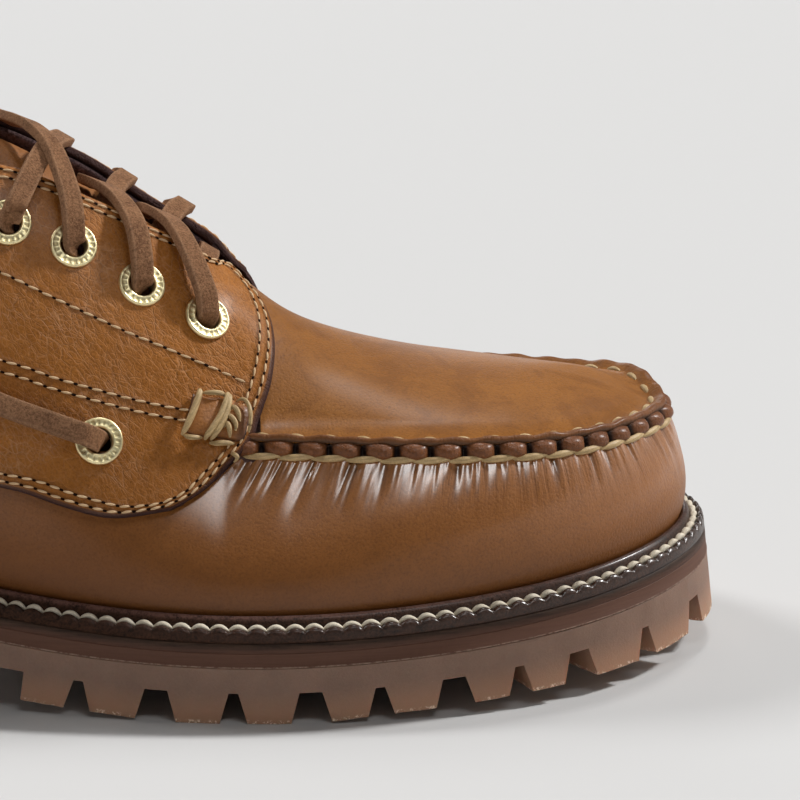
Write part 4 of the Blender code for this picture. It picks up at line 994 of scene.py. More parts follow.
# Painted shade in the grooves that the stitches sink into.
colour = facing_finish.blend(trough.limit() * 0.45, colour, (0.12, 0.042, 0.011))
raw = facing_finish.mark("raw")                 # 1 on the cut edge, 0 on the face
colour = facing_finish.blend(dark_edge * 0.9, colour, (0.060, 0.021, 0.012))
colour = facing_finish.blend(from_edge.step(0.8, 0.3) * 0.85, colour, (0.055, 0.024, 0.020))
fuzz = facing_finish.noise(0.6, 4, 0.7)
toeward = facing_finish.place(0).step(0.030, 0.045)
colour = facing_finish.blend(raw, colour, facing_finish.blend(fuzz, (0.028, 0.013, 0.011),
                                                              (0.105, 0.056, 0.050)))
facing_leather = facing_finish.done(colour, gloss + raw * 0.3, relief + fuzz * raw * 0.25,
                                    (0.18 + patchy * 0.24) * (1 - raw) * (1 - toeward * 0.75))

stitch_finish = Finish("cream stitching", Roughness=0.6, Specular_IOR_Level=0.4)
fibre = stitch_finish.noise(0.25, 3, 0.6)
soil = stitch_finish.noise(3, 3, 0.6)
colour = stitch_finish.blend((fibre * 0.5 + soil * 0.9 - 0.2).limit(), (0.48, 0.28, 0.125),
                             (0.88, 0.65, 0.39))
cream_thread = stitch_finish.done(colour, None, fibre * 0.05)
# Near-black lenses at each needle hole: painted shade inside the holes.
hole_finish = Finish("needle holes", Roughness=0.9, Specular_IOR_Level=0.04)
needle_hole = hole_finish.done(hole_finish.blend(hole_finish.noise(1, 2), (0.008, 0.004, 0.003),
                                                 (0.02, 0.01, 0.006)))


def sewn_row(line_uv, lift, pitch, share=0.76):
    """Starts, ends, holes and normals of the stitches along a run of u and v."""
    places, normal, _ = lifted(line_uv[:, 0], line_uv[:, 1], lift)
    run = run_along(places)
    count = max(int(run[-1] / pitch), 1)
    step = run[-1] / count
    first = (np.arange(count) + (1 - share) / 2) * step

    def at(length):
        return np.column_stack([np.interp(length, run, column) for column in places.T]), \
            unit(np.column_stack([np.interp(length, run, column) for column in normal.T]))
    starts, n = at(first)
    ends, _ = at(first + share * step)
    hole, hole_normal = at(np.arange(count + 1) * step)
    hole_end, _ = at(np.minimum(np.arange(count + 1) * step + 1.15, run[-1]))
    return starts, ends, n, hole, hole_end, hole_normal


def offset_line(outline, inset):
    """A lean-view polyline moved to its left by this much."""
    way = unit(np.gradient(outline, axis=0))
    return outline + np.column_stack([-way[:, 1], way[:, 0]]) * inset


for side, sign in (("lateral", -1), ("medial", 1)):
    def on_side(u):
        return u if sign < 0 else PERIOD - u
    nose_line = smooth_run(FACING_NOSE[side], 6)
    nose = find_on_upper(nose_line, sign, OUTER_LIFT)
    corner = THROAT_CORNER[side]
    nose = np.concatenate([nose, [[(nose[-1, 0] * 0.45 + corner * 0.55),
                                   nose[-1, 1] * 0.4 + 2 * 0.6], [corner, to_edge(corner, 2)]]])
    nose = smooth_run(np.concatenate([nose[:-1][::4], nose[-1:]]), 6)
    nose[:, 1] = np.clip(nose[:, 1], 0, to_edge(corner, 2))
    foot = find_on_upper(smooth_run(FACING_FOOT, 4), sign, OUTER_LIFT)
    heel = np.array([(on_side(u), v) for u, v in FOOT_HEEL_V])
    foot = np.concatenate([foot, smooth_run(np.concatenate([foot[-5::4], heel]), 6)[7:]])
    foot[0] = nose[0]
    top = np.column_stack([np.linspace(corner, on_side(0.0), 120), np.full(120, 2.0)])
    top[:, 1] = to_edge(top[:, 0] % PERIOD, top[:, 1])
    back = np.column_stack([np.full(20, on_side(0.0)), np.linspace(foot[-1, 1], 2, 20)])
    t = near_edges(230, 0.95, 80, 2.6)
    w = near_edges(62, 0.95)
    B, T, L, R = spread(foot, t), spread(top, t), spread(nose, w), spread(back, w)
    tt, ww = t[:, None, None], w[None, :, None]
    corners = (1 - tt) * (1 - ww) * B[0] + (1 - tt) * ww * T[0] + tt * (1 - ww) * B[-1] + \
        tt * ww * T[-1]
    patch = (1 - ww) * B[:, None] + ww * T[:, None] + (1 - tt) * L[None] + tt * R[None] - corners
    u, v = patch[..., 0], np.clip(patch[..., 1], 0, 2.1)
    places, normal, _ = lifted(u, v, 0)
    for _ in range(12):
        for grid in (places, normal):
            grid[8:74] = (grid[7:73] + 2 * grid[8:74] + grid[9:75]) / 4
    normal = unit(normal)
    run_t = np.concatenate([[np.zeros(len(w))], np.cumsum(
        np.linalg.norm(np.diff(places, axis=0), axis=2), axis=0)])
    run_w = np.concatenate([np.zeros((len(t), 1)), np.cumsum(
        np.linalg.norm(np.diff(places, axis=1), axis=2), axis=1)], axis=1)
    from_foot = np.minimum(run_t, run_w)
    inset = np.minimum(from_foot, run_w[:, -1:] - run_w)
    curl = np.sqrt(1 - (1 - np.clip(inset / 1.3, 0, 1)) ** 2)
    outer = places + normal * (OUTER_LIFT - 1.15 + 1.15 * curl)[..., None]
    pick = np.concatenate([[0, 2], np.arange(6, len(w) - 6, 8), [len(w) - 3, len(w) - 1]])
    inner = (places + normal * GAP)[:, pick[::-1]]
    middle = places + normal * (GAP + 0.6)
    sections = np.concatenate([middle[:, :1], outer, middle[:, -1:], inner], axis=1)
    flat = lean_view(outer, sign).reshape(-1, 2)
    join_line, stay_line = smooth_run(JOIN_ROW, 4), smooth_run(STAY_ROW, 4)

    def banded(values, around=9.0):
        values = values.reshape(len(t), len(w))
        pad = np.full((len(t), 1), around)
        return np.concatenate([pad, values, pad, np.full((len(t), len(pick)), around)], axis=1)
    raw_mark = banded(np.where(inset < 0.25, 1.0, 0.0), 1.0)     # the cut edge
    facing = loft(f"facing_{side}", sections, facing_leather, {
        "from_edge": banded(inset), "from_foot": banded(from_foot), "raw": raw_mark,
        "from_join": banded(polyline_distance(flat, join_line)),
        "from_stay": banded(polyline_distance(flat, stay_line))})
    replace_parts(facing, f"eyestay_{side}", f"side_panel_{side}")

    def patch_at(tv, wv):
        """u and v of the facing at these shares of its length and height."""
        ti, wi = np.interp(tv, t, np.arange(len(t))), np.interp(wv, w, np.arange(len(w)))
        t0, w0 = np.minimum(ti.astype(int), len(t) - 2), np.minimum(wi.astype(int), len(w) - 2)
        ft, fw = (ti - t0)[:, None], (wi - w0)[:, None]
        return patch[t0, w0] * (1 - ft) * (1 - fw) + patch[t0 + 1, w0] * ft * (1 - fw) + \
            patch[t0, w0 + 1] * (1 - ft) * fw + patch[t0 + 1, w0 + 1] * ft * fw

    rows = []
    for away in EDGE_ROWS:
        near_w = np.array([np.interp(away, run_w[k], w) for k in range(len(t))])
        far_w = np.array([np.interp(run_w[k, -1] - away, run_w[k], w) for k in range(len(t))])
        near_t = np.array([np.interp(away, run_t[:, k], t) for k in range(len(w))])
        keep_t = t > np.interp(near_w[0], w, near_t)
        low = patch_at(t[keep_t], near_w[keep_t])[::-1]
        keep_w = (w > near_w[0]) & (w < far_w[0])
        mid = patch_at(near_t[keep_w], w[keep_w])
        keep_t = t > near_t[-1]
        high = patch_at(t[keep_t], far_w[keep_t])
        rows.append((smooth_run(np.concatenate([low[:-1], mid[1:-1], high])[::3], 3), EDGE_PITCH))
    for away in JOIN_ROWS:
        rows.append((find_on_upper(offset_line(join_line, away), sign, OUTER_LIFT), EDGE_PITCH))
    rows.append((find_on_upper(stay_line, sign, OUTER_LIFT), STAY_PITCH))
    sewn = [sewn_row(line, OUTER_LIFT - 0.08, pitch) for line, pitch in rows]
    starts, ends, n, hole, hole_end, hole_n = (np.concatenate(part) for part in zip(*sewn))
    sewing = thread_stitches(f"facing_stitches_{side}", starts, ends, n, 0.52, 0.14,
                             cream_thread, rings=7, around=8, lean=0.22)
    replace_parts(sewing, f"eyestay_{side}")
    # The needle holes are near-black lenses on the surface: painted shade inside the holes.
    pricks = thread_stitches(f"facing_needle_holes_{side}", hole - (hole_end - hole) * 0.5,
                             hole_end - (hole_end - hole) * 0.5, hole_n, 0.66, 0.02,
                             needle_hole, flat=0.4, rings=5, around=8)
    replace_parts(pricks, f"eyestay_{side}")

# ------------------------------------------------------------------ bar tack
# Where the facing meets the moccasin seam a short tab of the same hide is bound down by
# hand with waxed linen: two bands across it, small knots and a loop round its end.
TAB_CORNERS = {                # u and v: bottom and top at the heel end, then at the toe end
    "lateral": ((6.675, 1.085), (6.735, 1.285), (7.045, 1.035), (7.10, 1.205)),
    "medial": ((15.77, 1.085), (15.73, 1.285), (15.42, 1.035), (15.38, 1.205)),
}
TAB_HIGH, BAND_THREAD = 1.7, 1.45
TACK_THREADS = (       # thickness, then along and across the tab (0 to 1), mm over its face
    (BAND_THREAD, ((0.06, 1.06, -0.9), (0.06, 0.94, 0.35), (0.05, 0.5, 0.65), (0.02, 0.08, 0.35),
                   (0.0, -0.06, -0.9))),
    (BAND_THREAD, ((0.50, 1.05, -0.9), (0.49, 0.92, 0.4), (0.46, 0.5, 0.75), (0.38, 0.05, 0.4),
                   (0.36, -0.08, -0.9))),
    (BAND_THREAD, ((0.60, 1.03, -0.9), (0.60, 0.90, 0.5), (0.56, 0.5, 0.85), (0.48, 0.06, 0.5),
                   (0.45, -0.08, -0.9))),
    (1.1, ((0.12, 1.03, -0.7), (0.22, 1.06, 0.1), (0.35, 1.04, 0.1), (0.46, 1.0, -0.7))),
    (1.1, ((0.02, -0.06, -0.9), (0.10, -0.13, 0.0), (0.20, -0.12, 0.0), (0.30, -0.06, -0.9))),
    (0.9, ((0.72, 0.98, -0.8), (0.82, 1.03, 0.5), (0.96, 0.85, 0.7), (1.04, 0.5, 0.3),
           (1.05, 0.3, -0.8))),
    (1.1, ((0.62, 0.62, 0.3), (0.70, 0.72, 0.9), (0.80, 0.62, 0.9), (0.86, 0.45, 0.3))),
    (1.1, ((0.60, 0.40, 0.3), (0.68, 0.48, 0.9), (0.80, 0.36, 0.9), (0.84, 0.18, 0.3))),
    (1.1, ((0.58, 0.20, 0.2), (0.66, 0.28, 0.8), (0.74, 0.16, 0.8), (0.78, 0.0, -0.2))),
    (1.15, ((0.45, -0.16, -1.2), (0.56, -0.20, -0.3), (0.72, -0.17, -0.2), (0.86, -0.08, -1.4))),
    (0.9, ((0.86, -0.28, -2.2), (0.92, -0.36, -1.2), (0.98, -0.44, -1.4), (0.94, -0.55, -2.4))),
)


THREAD_SIDES = 10


def threads(name, runs, finish):
    """Short lengths of round thread as one mesh, thinner at their ends."""
    points, faces, lay, spin, start = [], [], [], [], 0
    turn = np.arange(THREAD_SIDES) * 2 * np.pi / THREAD_SIDES
    for thick, run in runs:
        path = smooth_run(run, 8)
        along = unit(np.gradient(path, axis=0))
        side = unit(np.cross(along, (0.13, 0.31, 0.94)))
        up = np.cross(side, along)
        share = np.linspace(0, 1, len(path))
        fat = thick / 2 * np.clip(np.sin(np.pi * share), 0.12, 1) ** 0.35
        ring = side[:, None] * np.cos(turn)[None, :, None] + up[:, None] * \
            np.sin(turn)[None, :, None]
        points.append((path[:, None] + ring * fat[:, None, None]).reshape(-1, 3))
        stop = start + len(points[-1])
        faces += (band_faces(len(path), THREAD_SIDES, False, True) + start).tolist()
        faces += [tuple(range(start, start + THREAD_SIDES))[::-1],
                  tuple(range(stop - THREAD_SIDES, stop))]
        lay.append(np.repeat(run_along(path), THREAD_SIDES))
        spin.append(np.tile(turn / (2 * np.pi), len(path)))
        start = stop
    return new_piece(name, np.concatenate(points), faces, finish,
                     {"lay": np.concatenate(lay), "spin": np.concatenate(spin)})


tab_finish = Finish("tack tab leather", Coat_Roughness=0.2, Specular_IOR_Level=0.4)
colour, gloss, relief = pull_up_leather(tab_finish, (0.50, 0.205, 0.046), (0.33, 0.118, 0.024),
                                        COGNAC_SHADOW)
end = tab_finish.mark("end")                    # 1 at the toe end; the colour is darker towards it
colour = tab_finish.blend(end.step(0.74, 0.95) * 0.8, colour, (0.085, 0.030, 0.013))
colour = tab_finish.blend(tab_finish.mark("skirt") * 0.85, colour, (0.035, 0.013, 0.008))
tab_leather = tab_finish.done(colour, gloss, relief, 0.12)
for side, (low_heel, high_heel, low_toe, high_toe) in TAB_CORNERS.items():
    low_heel, high_heel, low_toe, high_toe = (np.array(corner) for corner in
                                              (low_heel, high_heel, low_toe, high_toe))

    def on_tab(along, over, lift):
        """Point of the tab's face, or over it, at shares along and across it."""
        along, over = (np.asarray(item, float)[..., None] for item in (along, over))
        place = (low_heel * (1 - over) + high_heel * over) * (1 - along) + \
            (low_toe * (1 - over) + high_toe * over) * along
        return lifted(place[..., 0], place[..., 1], lift)[0]

    s, t = np.linspace(0, 1, 41)[:, None], np.linspace(0, 1, 29)[None, :]
    belly = np.clip(s * 3, 0, 1) ** 0.5 * (1 - np.clip((s - 0.80) / 0.2, 0, 1) ** 2.2) ** 0.5
    height = belly * (1 - np.abs(2 * t - 1) ** 3.2) ** 0.5
    waist = 1 - 0.10 * np.exp(-((s - 0.48) / 0.07) ** 2) - 0.08 * np.exp(-((s - 0.03) / 0.06) ** 2)
    round_end = 1 - 0.25 * np.clip((s - 0.85) / 0.15, 0, 1) ** 2
    over = 0.5 + (t - 0.5) * waist * round_end
    rise = OUTER_LIFT + 0.1 + (TAB_HIGH - 0.1) * height * (0.88 + 0.12 * waist)
    top = on_tab(s + 0 * t, over, rise)
    under = on_tab(s + 0 * t[:, ::7], over[:, ::-7], OUTER_LIFT - 1.6 + 0 * over[:, ::7])
    sections = np.concatenate([top, under], axis=1)
    sides = np.concatenate([np.broadcast_to(np.clip(1 - height * 3, 0, 1), height.shape),
                            np.ones(under.shape[:2])], axis=1)
    tab = loft(f"tack_tab_{side}", sections if side == "lateral" else sections[::-1],
               tab_leather, {
                   "end": np.broadcast_to(s if side == "lateral" else s[::-1], sides.shape),
                   "skirt": sides if side == "lateral" else sides[::-1]})
    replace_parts(tab, "upper")
    runs = [(thick, [on_tab(a, b, OUTER_LIFT + TAB_HIGH + c) for a, b, c in run])
            for thick, run in TACK_THREADS]
    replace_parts(threads(f"tack_thread_{side}", runs, linen_thread), "upper")

# ------------------------------------------------------------------ eyelets
# Pressed brass rings, four on each facing and two on each side panel, set through all
# the leather.  The flat collar is bare apart from a ring of small punched notches.
EYELETS = {
    "lateral": ((6.80, 1.673), (6.435, 1.741), (6.03, 1.784), (5.61, 1.794)),
    "medial": ((15.68, 1.70), (16.05, 1.75), (16.44, 1.785), (16.83, 1.795)),
}
SIDE_EYELETS = {"lateral": ((6.206, 1.031), (4.78, 1.30)),
                "medial": ((16.28, 1.04), (17.62, 1.22))}
EYELET_PROFILE = (       # radius and height over the leather, from inside the hole and round
    (2.60, -3.4), (2.60, 0.15), (2.65, 0.42), (2.8, 0.60), (3.0, 0.66), (3.2, 0.64),
    (3.35, 0.60), (3.75, 0.58), (4.15, 0.57), (4.3, 0.62), (4.48, 0.64), (4.66, 0.55),
    (4.78, 0.35), (4.82, 0.1), (4.8, -0.1), (3.1, -0.1), (3.1, -3.4))
NOTCH_RUNS = (4, 3, 5, 3, 4, 4, 3, 6, 3, 4)          # widths of the punched notches and gaps
NOTCH_DEEP = 0.10
PUNCH_RADIUS, PUNCH_REACH, PUNCH_DEPTH = 3.9, 12, 8
brass_finish = Finish("brass", Metallic=1.0)
smear = brass_finish.noise(1.6, 4, 0.6)
dent = brass_finish.noise(0.55, 3, 0.6)
hollow = brass_finish.mark("hollow")
colour = brass_finish.blend(smear, (0.96, 0.78, 0.38), (1.0, 0.93, 0.62))
colour = brass_finish.blend(hollow * 0.55, colour, (0.30, 0.20, 0.07))
brass = brass_finish.done(colour, 0.30 + dent * 0.18 + hollow * 0.2, dent * 0.05)


def punch(piece, point, normal, radius):
    """Takes the leather away inside a round hole square to the surface."""
    work = bmesh.new()
    work.from_mesh(piece.data)
    point = Vector((np.array(point) + SHIFT) * MM)
    normal = Vector(normal)
    gone = []
    for face in work.faces:
        way = face.calc_center_median() - point
        deep = way.dot(normal)
        if way.length < PUNCH_REACH * MM and abs(deep) < PUNCH_DEPTH * MM and \
                (way - normal * deep).length < radius * MM:
            gone.append(face)
    bmesh.ops.delete(work, geom=gone, context="FACES")
    work.to_mesh(piece.data)
    work.free()


turn = np.arange(156) * 2 * np.pi / 156
pressed = np.repeat(np.arange(40) % 2 == 0, np.tile(NOTCH_RUNS, 4))
ring = np.array(EYELET_PROFILE)
eyelet_places = {}
for side in ("lateral", "medial"):
    named = [(f"stay_{side}_{k}", place) for k, place in enumerate(EYELETS[side], 1)]
    named += [(f"side_{side}_{k}", place) for k, place in enumerate(SIDE_EYELETS[side], 1)]
    for name, (u, v) in named:
        point, normal, along = lifted(u, v, OUTER_LIFT)
        eyelet_places[name] = (point, normal)
        across = np.cross(normal, along)
        collar = (ring[:, 0] > 3.3) & (ring[:, 0] < 4.2) & (ring[:, 1] > 0.3)
        notch = pressed[:, None] * collar[None, :]
        heights = ring[None, :, 1] - notch * NOTCH_DEEP
        sections = point + (np.cos(turn)[:, None] * ring[None, :, 0])[..., None] * along + \
            (np.sin(turn)[:, None] * ring[None, :, 0])[..., None] * across + \
            heights[..., None] * normal
        eyelet = loft(f"brass_eyelet_{name}", sections, brass,
                      {"hollow": notch * 0.8 + (ring[None, :, 1] < 0.3) * 0.6 + 0 * heights},
                      ring=True)
        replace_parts(eyelet, f"eyelet_{name}")
        for piece in (bpy.data.objects[f"facing_{side}"], quarters):
            punch(piece, point, normal, PUNCH_RADIUS)

# ------------------------------------------------------------------ insole
# The board that the upper is lasted to, with a leather sock glued over it.  Only its
# heel half shows, through the topline.
INSOLE_INSET, INSOLE_THICK = 9.0, 3.0
around_u = np.linspace(0, PERIOD, 361)[:-1]


def sole_ring(u, inset, depth):
    """Points at a depth below the welt's upper face, square to the sole."""
    plan, _ = edge_inset(u, np.full(len(u), float(inset)))
    slope = ledge(plan[:, 0], 1)
    normal = unit(np.column_stack([-slope, np.zeros(len(u)), np.ones(len(u))]))
    depth = np.broadcast_to(depth, (len(u),))
    return np.column_stack([plan, ledge(plan[:, 0])]) - normal * depth[:, None]


def closing_faces(base, size, flip, shift=0):
    """Faces across a ring of points, each pair joined to the pair opposite it."""
    faces = []
    for k in range(size // 2):
        quad = tuple(dict.fromkeys((base + k, base + k + 1, base + (size - k - 1 - shift) % size,
                                    base + (size - k - shift) % size)))
        if len(quad) > 2:
            faces.append(quad if flip else quad[::-1])
    return faces


def ring_faces(count):
    """Faces of a solid through this many rings round the sole, closed at both ends."""
    size = len(around_u)
    return band_faces(count, size, False, True).tolist() + closing_faces(0, size, True) + \
        closing_faces((count - 1) * size, size, False)


def plate(name, outline, finish, marks=None):
    """Sole layer: rings from the middle of its underside round its edge to the middle."""
    rings = [sole_ring(around_u, inset, depth) for inset, depth in outline]
    return new_piece(name, np.concatenate(rings), ring_faces(len(rings)), finish, marks)


insole_finish = Finish("insole leather", Specular_IOR_Level=0.3)
polish = insole_finish.noise(18, 4, 0.6, 0.4)
pore = insole_finish.noise(0.7, 3, 0.6)
colour = insole_finish.blend((polish + pore * 0.4 - 0.2).limit(), (0.20, 0.095, 0.04),
                             (0.38, 0.21, 0.105))
insole = plate("insole_sock", ((INSOLE_INSET, -GAP), (INSOLE_INSET, -GAP - INSOLE_THICK + 0.5),
                               (INSOLE_INSET + 0.5, -GAP - INSOLE_THICK)),
               insole_finish.done(colour, 0.45 + polish * 0.2, pore * 0.06))
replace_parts(insole, "insole")

# ------------------------------------------------------------------ welt
# A strip of dark waxed leather with a rolled storm lip against the wall.  It is sewn to
# the sole with thick cream lockstitch, and a wheel has pressed a bump beside each stitch.
WELT_INNER = 15.0
WELT_STITCHES = 182
WELT_SECTION = (      # inset from the edge, height, share of the wheeled bump
    (0.02, -1.75, 0), (0.0, -1.2, 0), (0.0, -0.45, 0.15), (0.12, -0.12, 0.45), (0.45, 0.08, 0.8),
    (0.95, 0.16, 1.0), (1.35, 0.08, 0.75), (1.65, -0.18, 0.25), (1.95, -0.3, 0), (2.7, -0.3, 0),
    (3.0, -0.05, 0), (3.15, 0.6, 0), (3.4, 1.4, 0), (3.75, 2.1, 0), (4.25, 2.5, 0),
    (4.8, 2.45, 0), (5.3, 2.0, 0), (5.75, 1.1, 0), (6.0, 0.1, 0), (WELT_INNER, -0.05, 0),
    (WELT_INNER, -1.75, 0))
dense_u = np.linspace(0, PERIOD, 6000)
row_line = sole_ring(dense_u, 2.25, 0)
row_run = run_along(row_line)
welt_pitch = row_run[-1] / WELT_STITCHES
run = np.linspace(0, row_run[-1], WELT_STITCHES * 11 + 1)[:-1]
u = np.interp(run, row_run, dense_u)
phase = run / welt_pitch % 1
rough = np.random.default_rng(31).uniform(-1, 1, (WELT_STITCHES + 1, 2))[
    (run / welt_pitch).astype(int)]
bump = (0.92 + 0.14 * rough[:, 0]) * np.abs(np.sin(np.pi * phase)) ** 0.75
sections = np.array([sole_ring(u, inset, -(height + share * bump)) for inset, height, share in
                     WELT_SECTION]).transpose(1, 0, 2)
welt_finish = Finish("welt leather", Coat_Roughness=0.24, Coat_IOR=1.6, Specular_IOR_Level=0.12)
nap = welt_finish.noise(0.5, 4, 0.7)
rub = welt_finish.noise(2.6, 4, 0.65, 0.8)
top, wheel = welt_finish.mark("top"), welt_finish.mark("wheel")   # mm up; 1 on the bumps
toeward = welt_finish.place(0).step(0.02, 0.13)
colour = welt_finish.blend((nap * 1.7 + rub * 1.0 - 0.95).limit(), (0.010, 0.005, 0.003),
                           (0.095, 0.041, 0.023))
worn = top.step(1.4, 2.5) * (rub * 0.8 + nap * 0.7).step(0.45, 0.90) * (1 - toeward * 0.7)
colour = welt_finish.blend(worn * 0.75, colour, (0.25, 0.125, 0.10))
welt_leather = welt_finish.done(colour, 0.66 - toeward * 0.30 - wheel * 0.15 + nap * 0.15,
                                nap * 0.30 + rub * 0.22,
                                toeward * 0.42 + wheel * (0.1 + toeward * 0.3))
welt = loft("storm_welt", sections, welt_leather, {
    "top": np.tile([height for _, height, _ in WELT_SECTION], (len(u), 1)),
    "wheel": np.tile([share for _, _, share in WELT_SECTION], (len(u), 1))}, ring=True)
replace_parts(welt, "welt")

stitch_run = np.arange(WELT_STITCHES) * welt_pitch
start_u = np.interp(stitch_run - 0.25, row_run, dense_u)
stop_u = np.interp(stitch_run + welt_pitch + 0.25, row_run, dense_u)
stop_u[-1] = PERIOD + 0.005
starts, ends = sole_ring(start_u, 2.45, 0.15), sole_ring(stop_u, 2.3, 0.15)
slope = ledge(starts[:, 0], 1)
up = unit(np.column_stack([-slope, np.zeros(len(slope)), np.ones(len(slope))]))
lock_finish = Finish("welt thread", Specular_IOR_Level=0.4, Roughness=0.6)
lay = lock_finish.mark("lay")
fibre = lock_finish.noise(0.3, 3, 0.6)
dirt = lock_finish.noise(5, 4, 0.65)
colour = lock_finish.blend((fibre * 0.6 + dirt * 0.9 - 0.3).limit(), (0.50, 0.41, 0.28),
                           (0.98, 0.91, 0.76))
strand = (lay * 3.4 + lock_finish.mark("spin") * 12.566).sine()
lock_thread = lock_finish.done(colour, None, strand * 0.03 + fibre * 0.05)
welt_thread = thread_stitches("welt_thread", starts, ends, up, 1.5, 0.85, lock_thread,
                              0.95, lean=-0.35)
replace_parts(welt_thread, "welt")

# ------------------------------------------------------------------ midsoles
# A leather midsole with an inked edge under the welt, then a thin band of red-brown
# rubber.  All the edges are trimmed and buffed together, which leaves fine lines.
MID_TOP, MID_BOTTOM, BAND_BOTTOM = 1.82, 3.9, 6.95
mid_finish = Finish("inked midsole edge", Specular_IOR_Level=0.2)
layer = mid_finish.mark("depth")
stripe = mid_finish.noise(0.5, 4, 0.65, 0.0, mid_finish.stretch((0.05, 0.05, 1.0)))
nap = mid_finish.noise(0.7, 3, 0.6)
colour = mid_finish.blend((stripe * 1.9 + nap * 0.5 - 0.75).limit(), (0.012, 0.006, 0.004),
                          (0.085, 0.046, 0.028))
colour = mid_finish.blend(layer.step(2.2, 3.9) * (0.3 + stripe), colour, (0.100, 0.044, 0.028))
mid_leather = mid_finish.done(colour, 0.45 + nap * 0.25, stripe * 0.10 + nap * 0.05)
MID_OUTLINE = ((15.3, MID_BOTTOM), (0.04, MID_BOTTOM), (0.0, MID_BOTTOM - 0.08),
               (-0.02, 2.9), (0.02, MID_TOP + 0.2), (0.3, MID_TOP), (15.3, MID_TOP),
               (15.5, 0.1))
midsole = plate("leather_midsole_edge", MID_OUTLINE, mid_leather,
                {"depth": np.repeat([depth for _, depth in MID_OUTLINE], len(around_u))})
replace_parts(midsole, "leather_midsole")
band_finish = Finish("red brown rubber", Specular_IOR_Level=0.25)
stripe = band_finish.noise(0.6, 4, 0.65, 0.0, band_finish.stretch((0.04, 0.04, 1.0)))
chalk = band_finish.noise(1.1, 4, 0.7)
colour = band_finish.blend((stripe * 0.7 + chalk * 0.4 - 0.1).limit(), (0.080, 0.034, 0.020),
                           (0.150, 0.070, 0.044))
flash = band_finish.mark("flash")               # 1 on the moulded line under the band
colour = band_finish.blend(flash * chalk.step(0.35, 0.6) * 0.8, colour, (0.34, 0.23, 0.17))
band_rubber = band_finish.done(colour, 0.5 + chalk * 0.2, stripe * 0.06)
BAND_OUTLINE = ((9, BAND_BOTTOM), (0.05, BAND_BOTTOM), (-0.10, BAND_BOTTOM - 0.04),
                (-0.10, BAND_BOTTOM - 0.2), (0.02, BAND_BOTTOM - 0.32), (0.02, MID_BOTTOM + 0.2),
                (0.06, MID_BOTTOM + 0.05), (9, MID_BOTTOM + 0.05))
band = plate("rubber_band", BAND_OUTLINE, band_rubber, {"flash": np.repeat(
    [float(inset < 0) for inset, _ in BAND_OUTLINE], len(around_u))})
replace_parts(band, "rubber_midsole")

# ------------------------------------------------------------------ outsole
# Moulded brown rubber, a little translucent where it is thin.  The forepart stands on
# deep wedge-sided lugs; wide channels run right across, narrow ones cut in from the edge.
BODY_TOP, BODY_BOTTOM, LUG_DEPTH, LUG_DRAFT = 7.0, 12.2, 6.4, 0.29
TREAD = ((-10, 5.5), (12, 2.5), (26, 1.2), (42, 0), (66, 0), (85, 1.4), (101, 2.4),
         (118, 3.4), (138, 4.8), (150, 5.9))
TREAD_START_X, HEEL_BREAST_X = 12.0, -72.0
NARROW, WIDE, GROOVE_LENGTH = 1.9, 4.5, 20.0
GROOVES = ((24, NARROW), (39, WIDE), (54, NARROW), (69, WIDE), (82.5, NARROW), (97, WIDE),
           (110, NARROW), (122, WIDE), (135.5, NARROW), (146, WIDE))
HEEL_GROOVES = ((-88, WIDE), (-104, NARROW), (-119, WIDE), (-134, NARROW))
tread_values = keyed_curve(TREAD)
rubber_finish = Finish("brown rubber", Specular_IOR_Level=0.33, Subsurface_Weight=0.25,
                       Subsurface_Scale=0.0025)
bloom = rubber_finish.noise(9, 4, 0.6, 0.3)
grit = rubber_finish.noise(0.5, 4, 0.75)
scuff = rubber_finish.noise(4, 5, 0.7, 1.5, rubber_finish.stretch((1, 1, 0.4)))
above = rubber_finish.mark("above")             # mm over the treading face
colour = rubber_finish.blend((bloom * 0.7 + grit * 0.5 - 0.1).limit(), (0.155, 0.090, 0.061),
                             (0.310, 0.190, 0.136))
# Painted glow: lighter and more orange towards the treading face, standing in for light passing
# through the thin lugs.
colour = rubber_finish.blend(above.step(7.5, 0.5) * 0.60, colour, (0.47, 0.245, 0.140))
colour = rubber_finish.blend(scuff.step(0.62, 0.75) * 0.30, colour, (0.27, 0.18, 0.135))
crumb = rubber_finish.noise(1.1, 3, 0.7)
fleck = (grit * 0.5 + crumb * 0.5).step(0.51, 0.58) * above.step(0.9, 0.35)
colour = rubber_finish.blend(fleck, colour, (0.85, 0.66, 0.50))
speck = grit.step(0.68, 0.74) * crumb.step(0.5, 0.6)
colour = rubber_finish.blend(speck * 0.6, colour, (0.60, 0.45, 0.36))
brown_rubber = rubber_finish.done(colour, 0.46 + grit * 0.25, grit * 0.10 + scuff * 0.06)


def face_outward(mesh):
    """Turns all the faces of a solid outward."""
    work = bmesh.new()
    work.from_mesh(mesh)
    bmesh.ops.recalc_face_normals(work, faces=work.faces)
    work.to_mesh(mesh)
    work.free()


def cutter(name, outline, origin, axes, depths):
    """Hidden solid that is cut away: an outline on two axes, drawn out along a third."""
    first, second, third = (np.array(axis, float) for axis in axes)
    points = [np.array(origin) + first * a + second * b + third * depth
              for depth in depths for a, b in outline]
    count = len(outline)
    faces = [tuple(range(count)), tuple(range(2 * count - 1, count - 1, -1))]
    faces += [(i, (i + 1) % count, count + (i + 1) % count, count + i) for i in range(count)]
    mesh = bpy.data.meshes.new(name)
    mesh.from_pydata(((np.array(points) + SHIFT) * MM).tolist(), [], faces)
    face_outward(mesh)
    item = bpy.data.objects.new(name, mesh)
    bpy.context.scene.collection.objects.link(item)
    return item


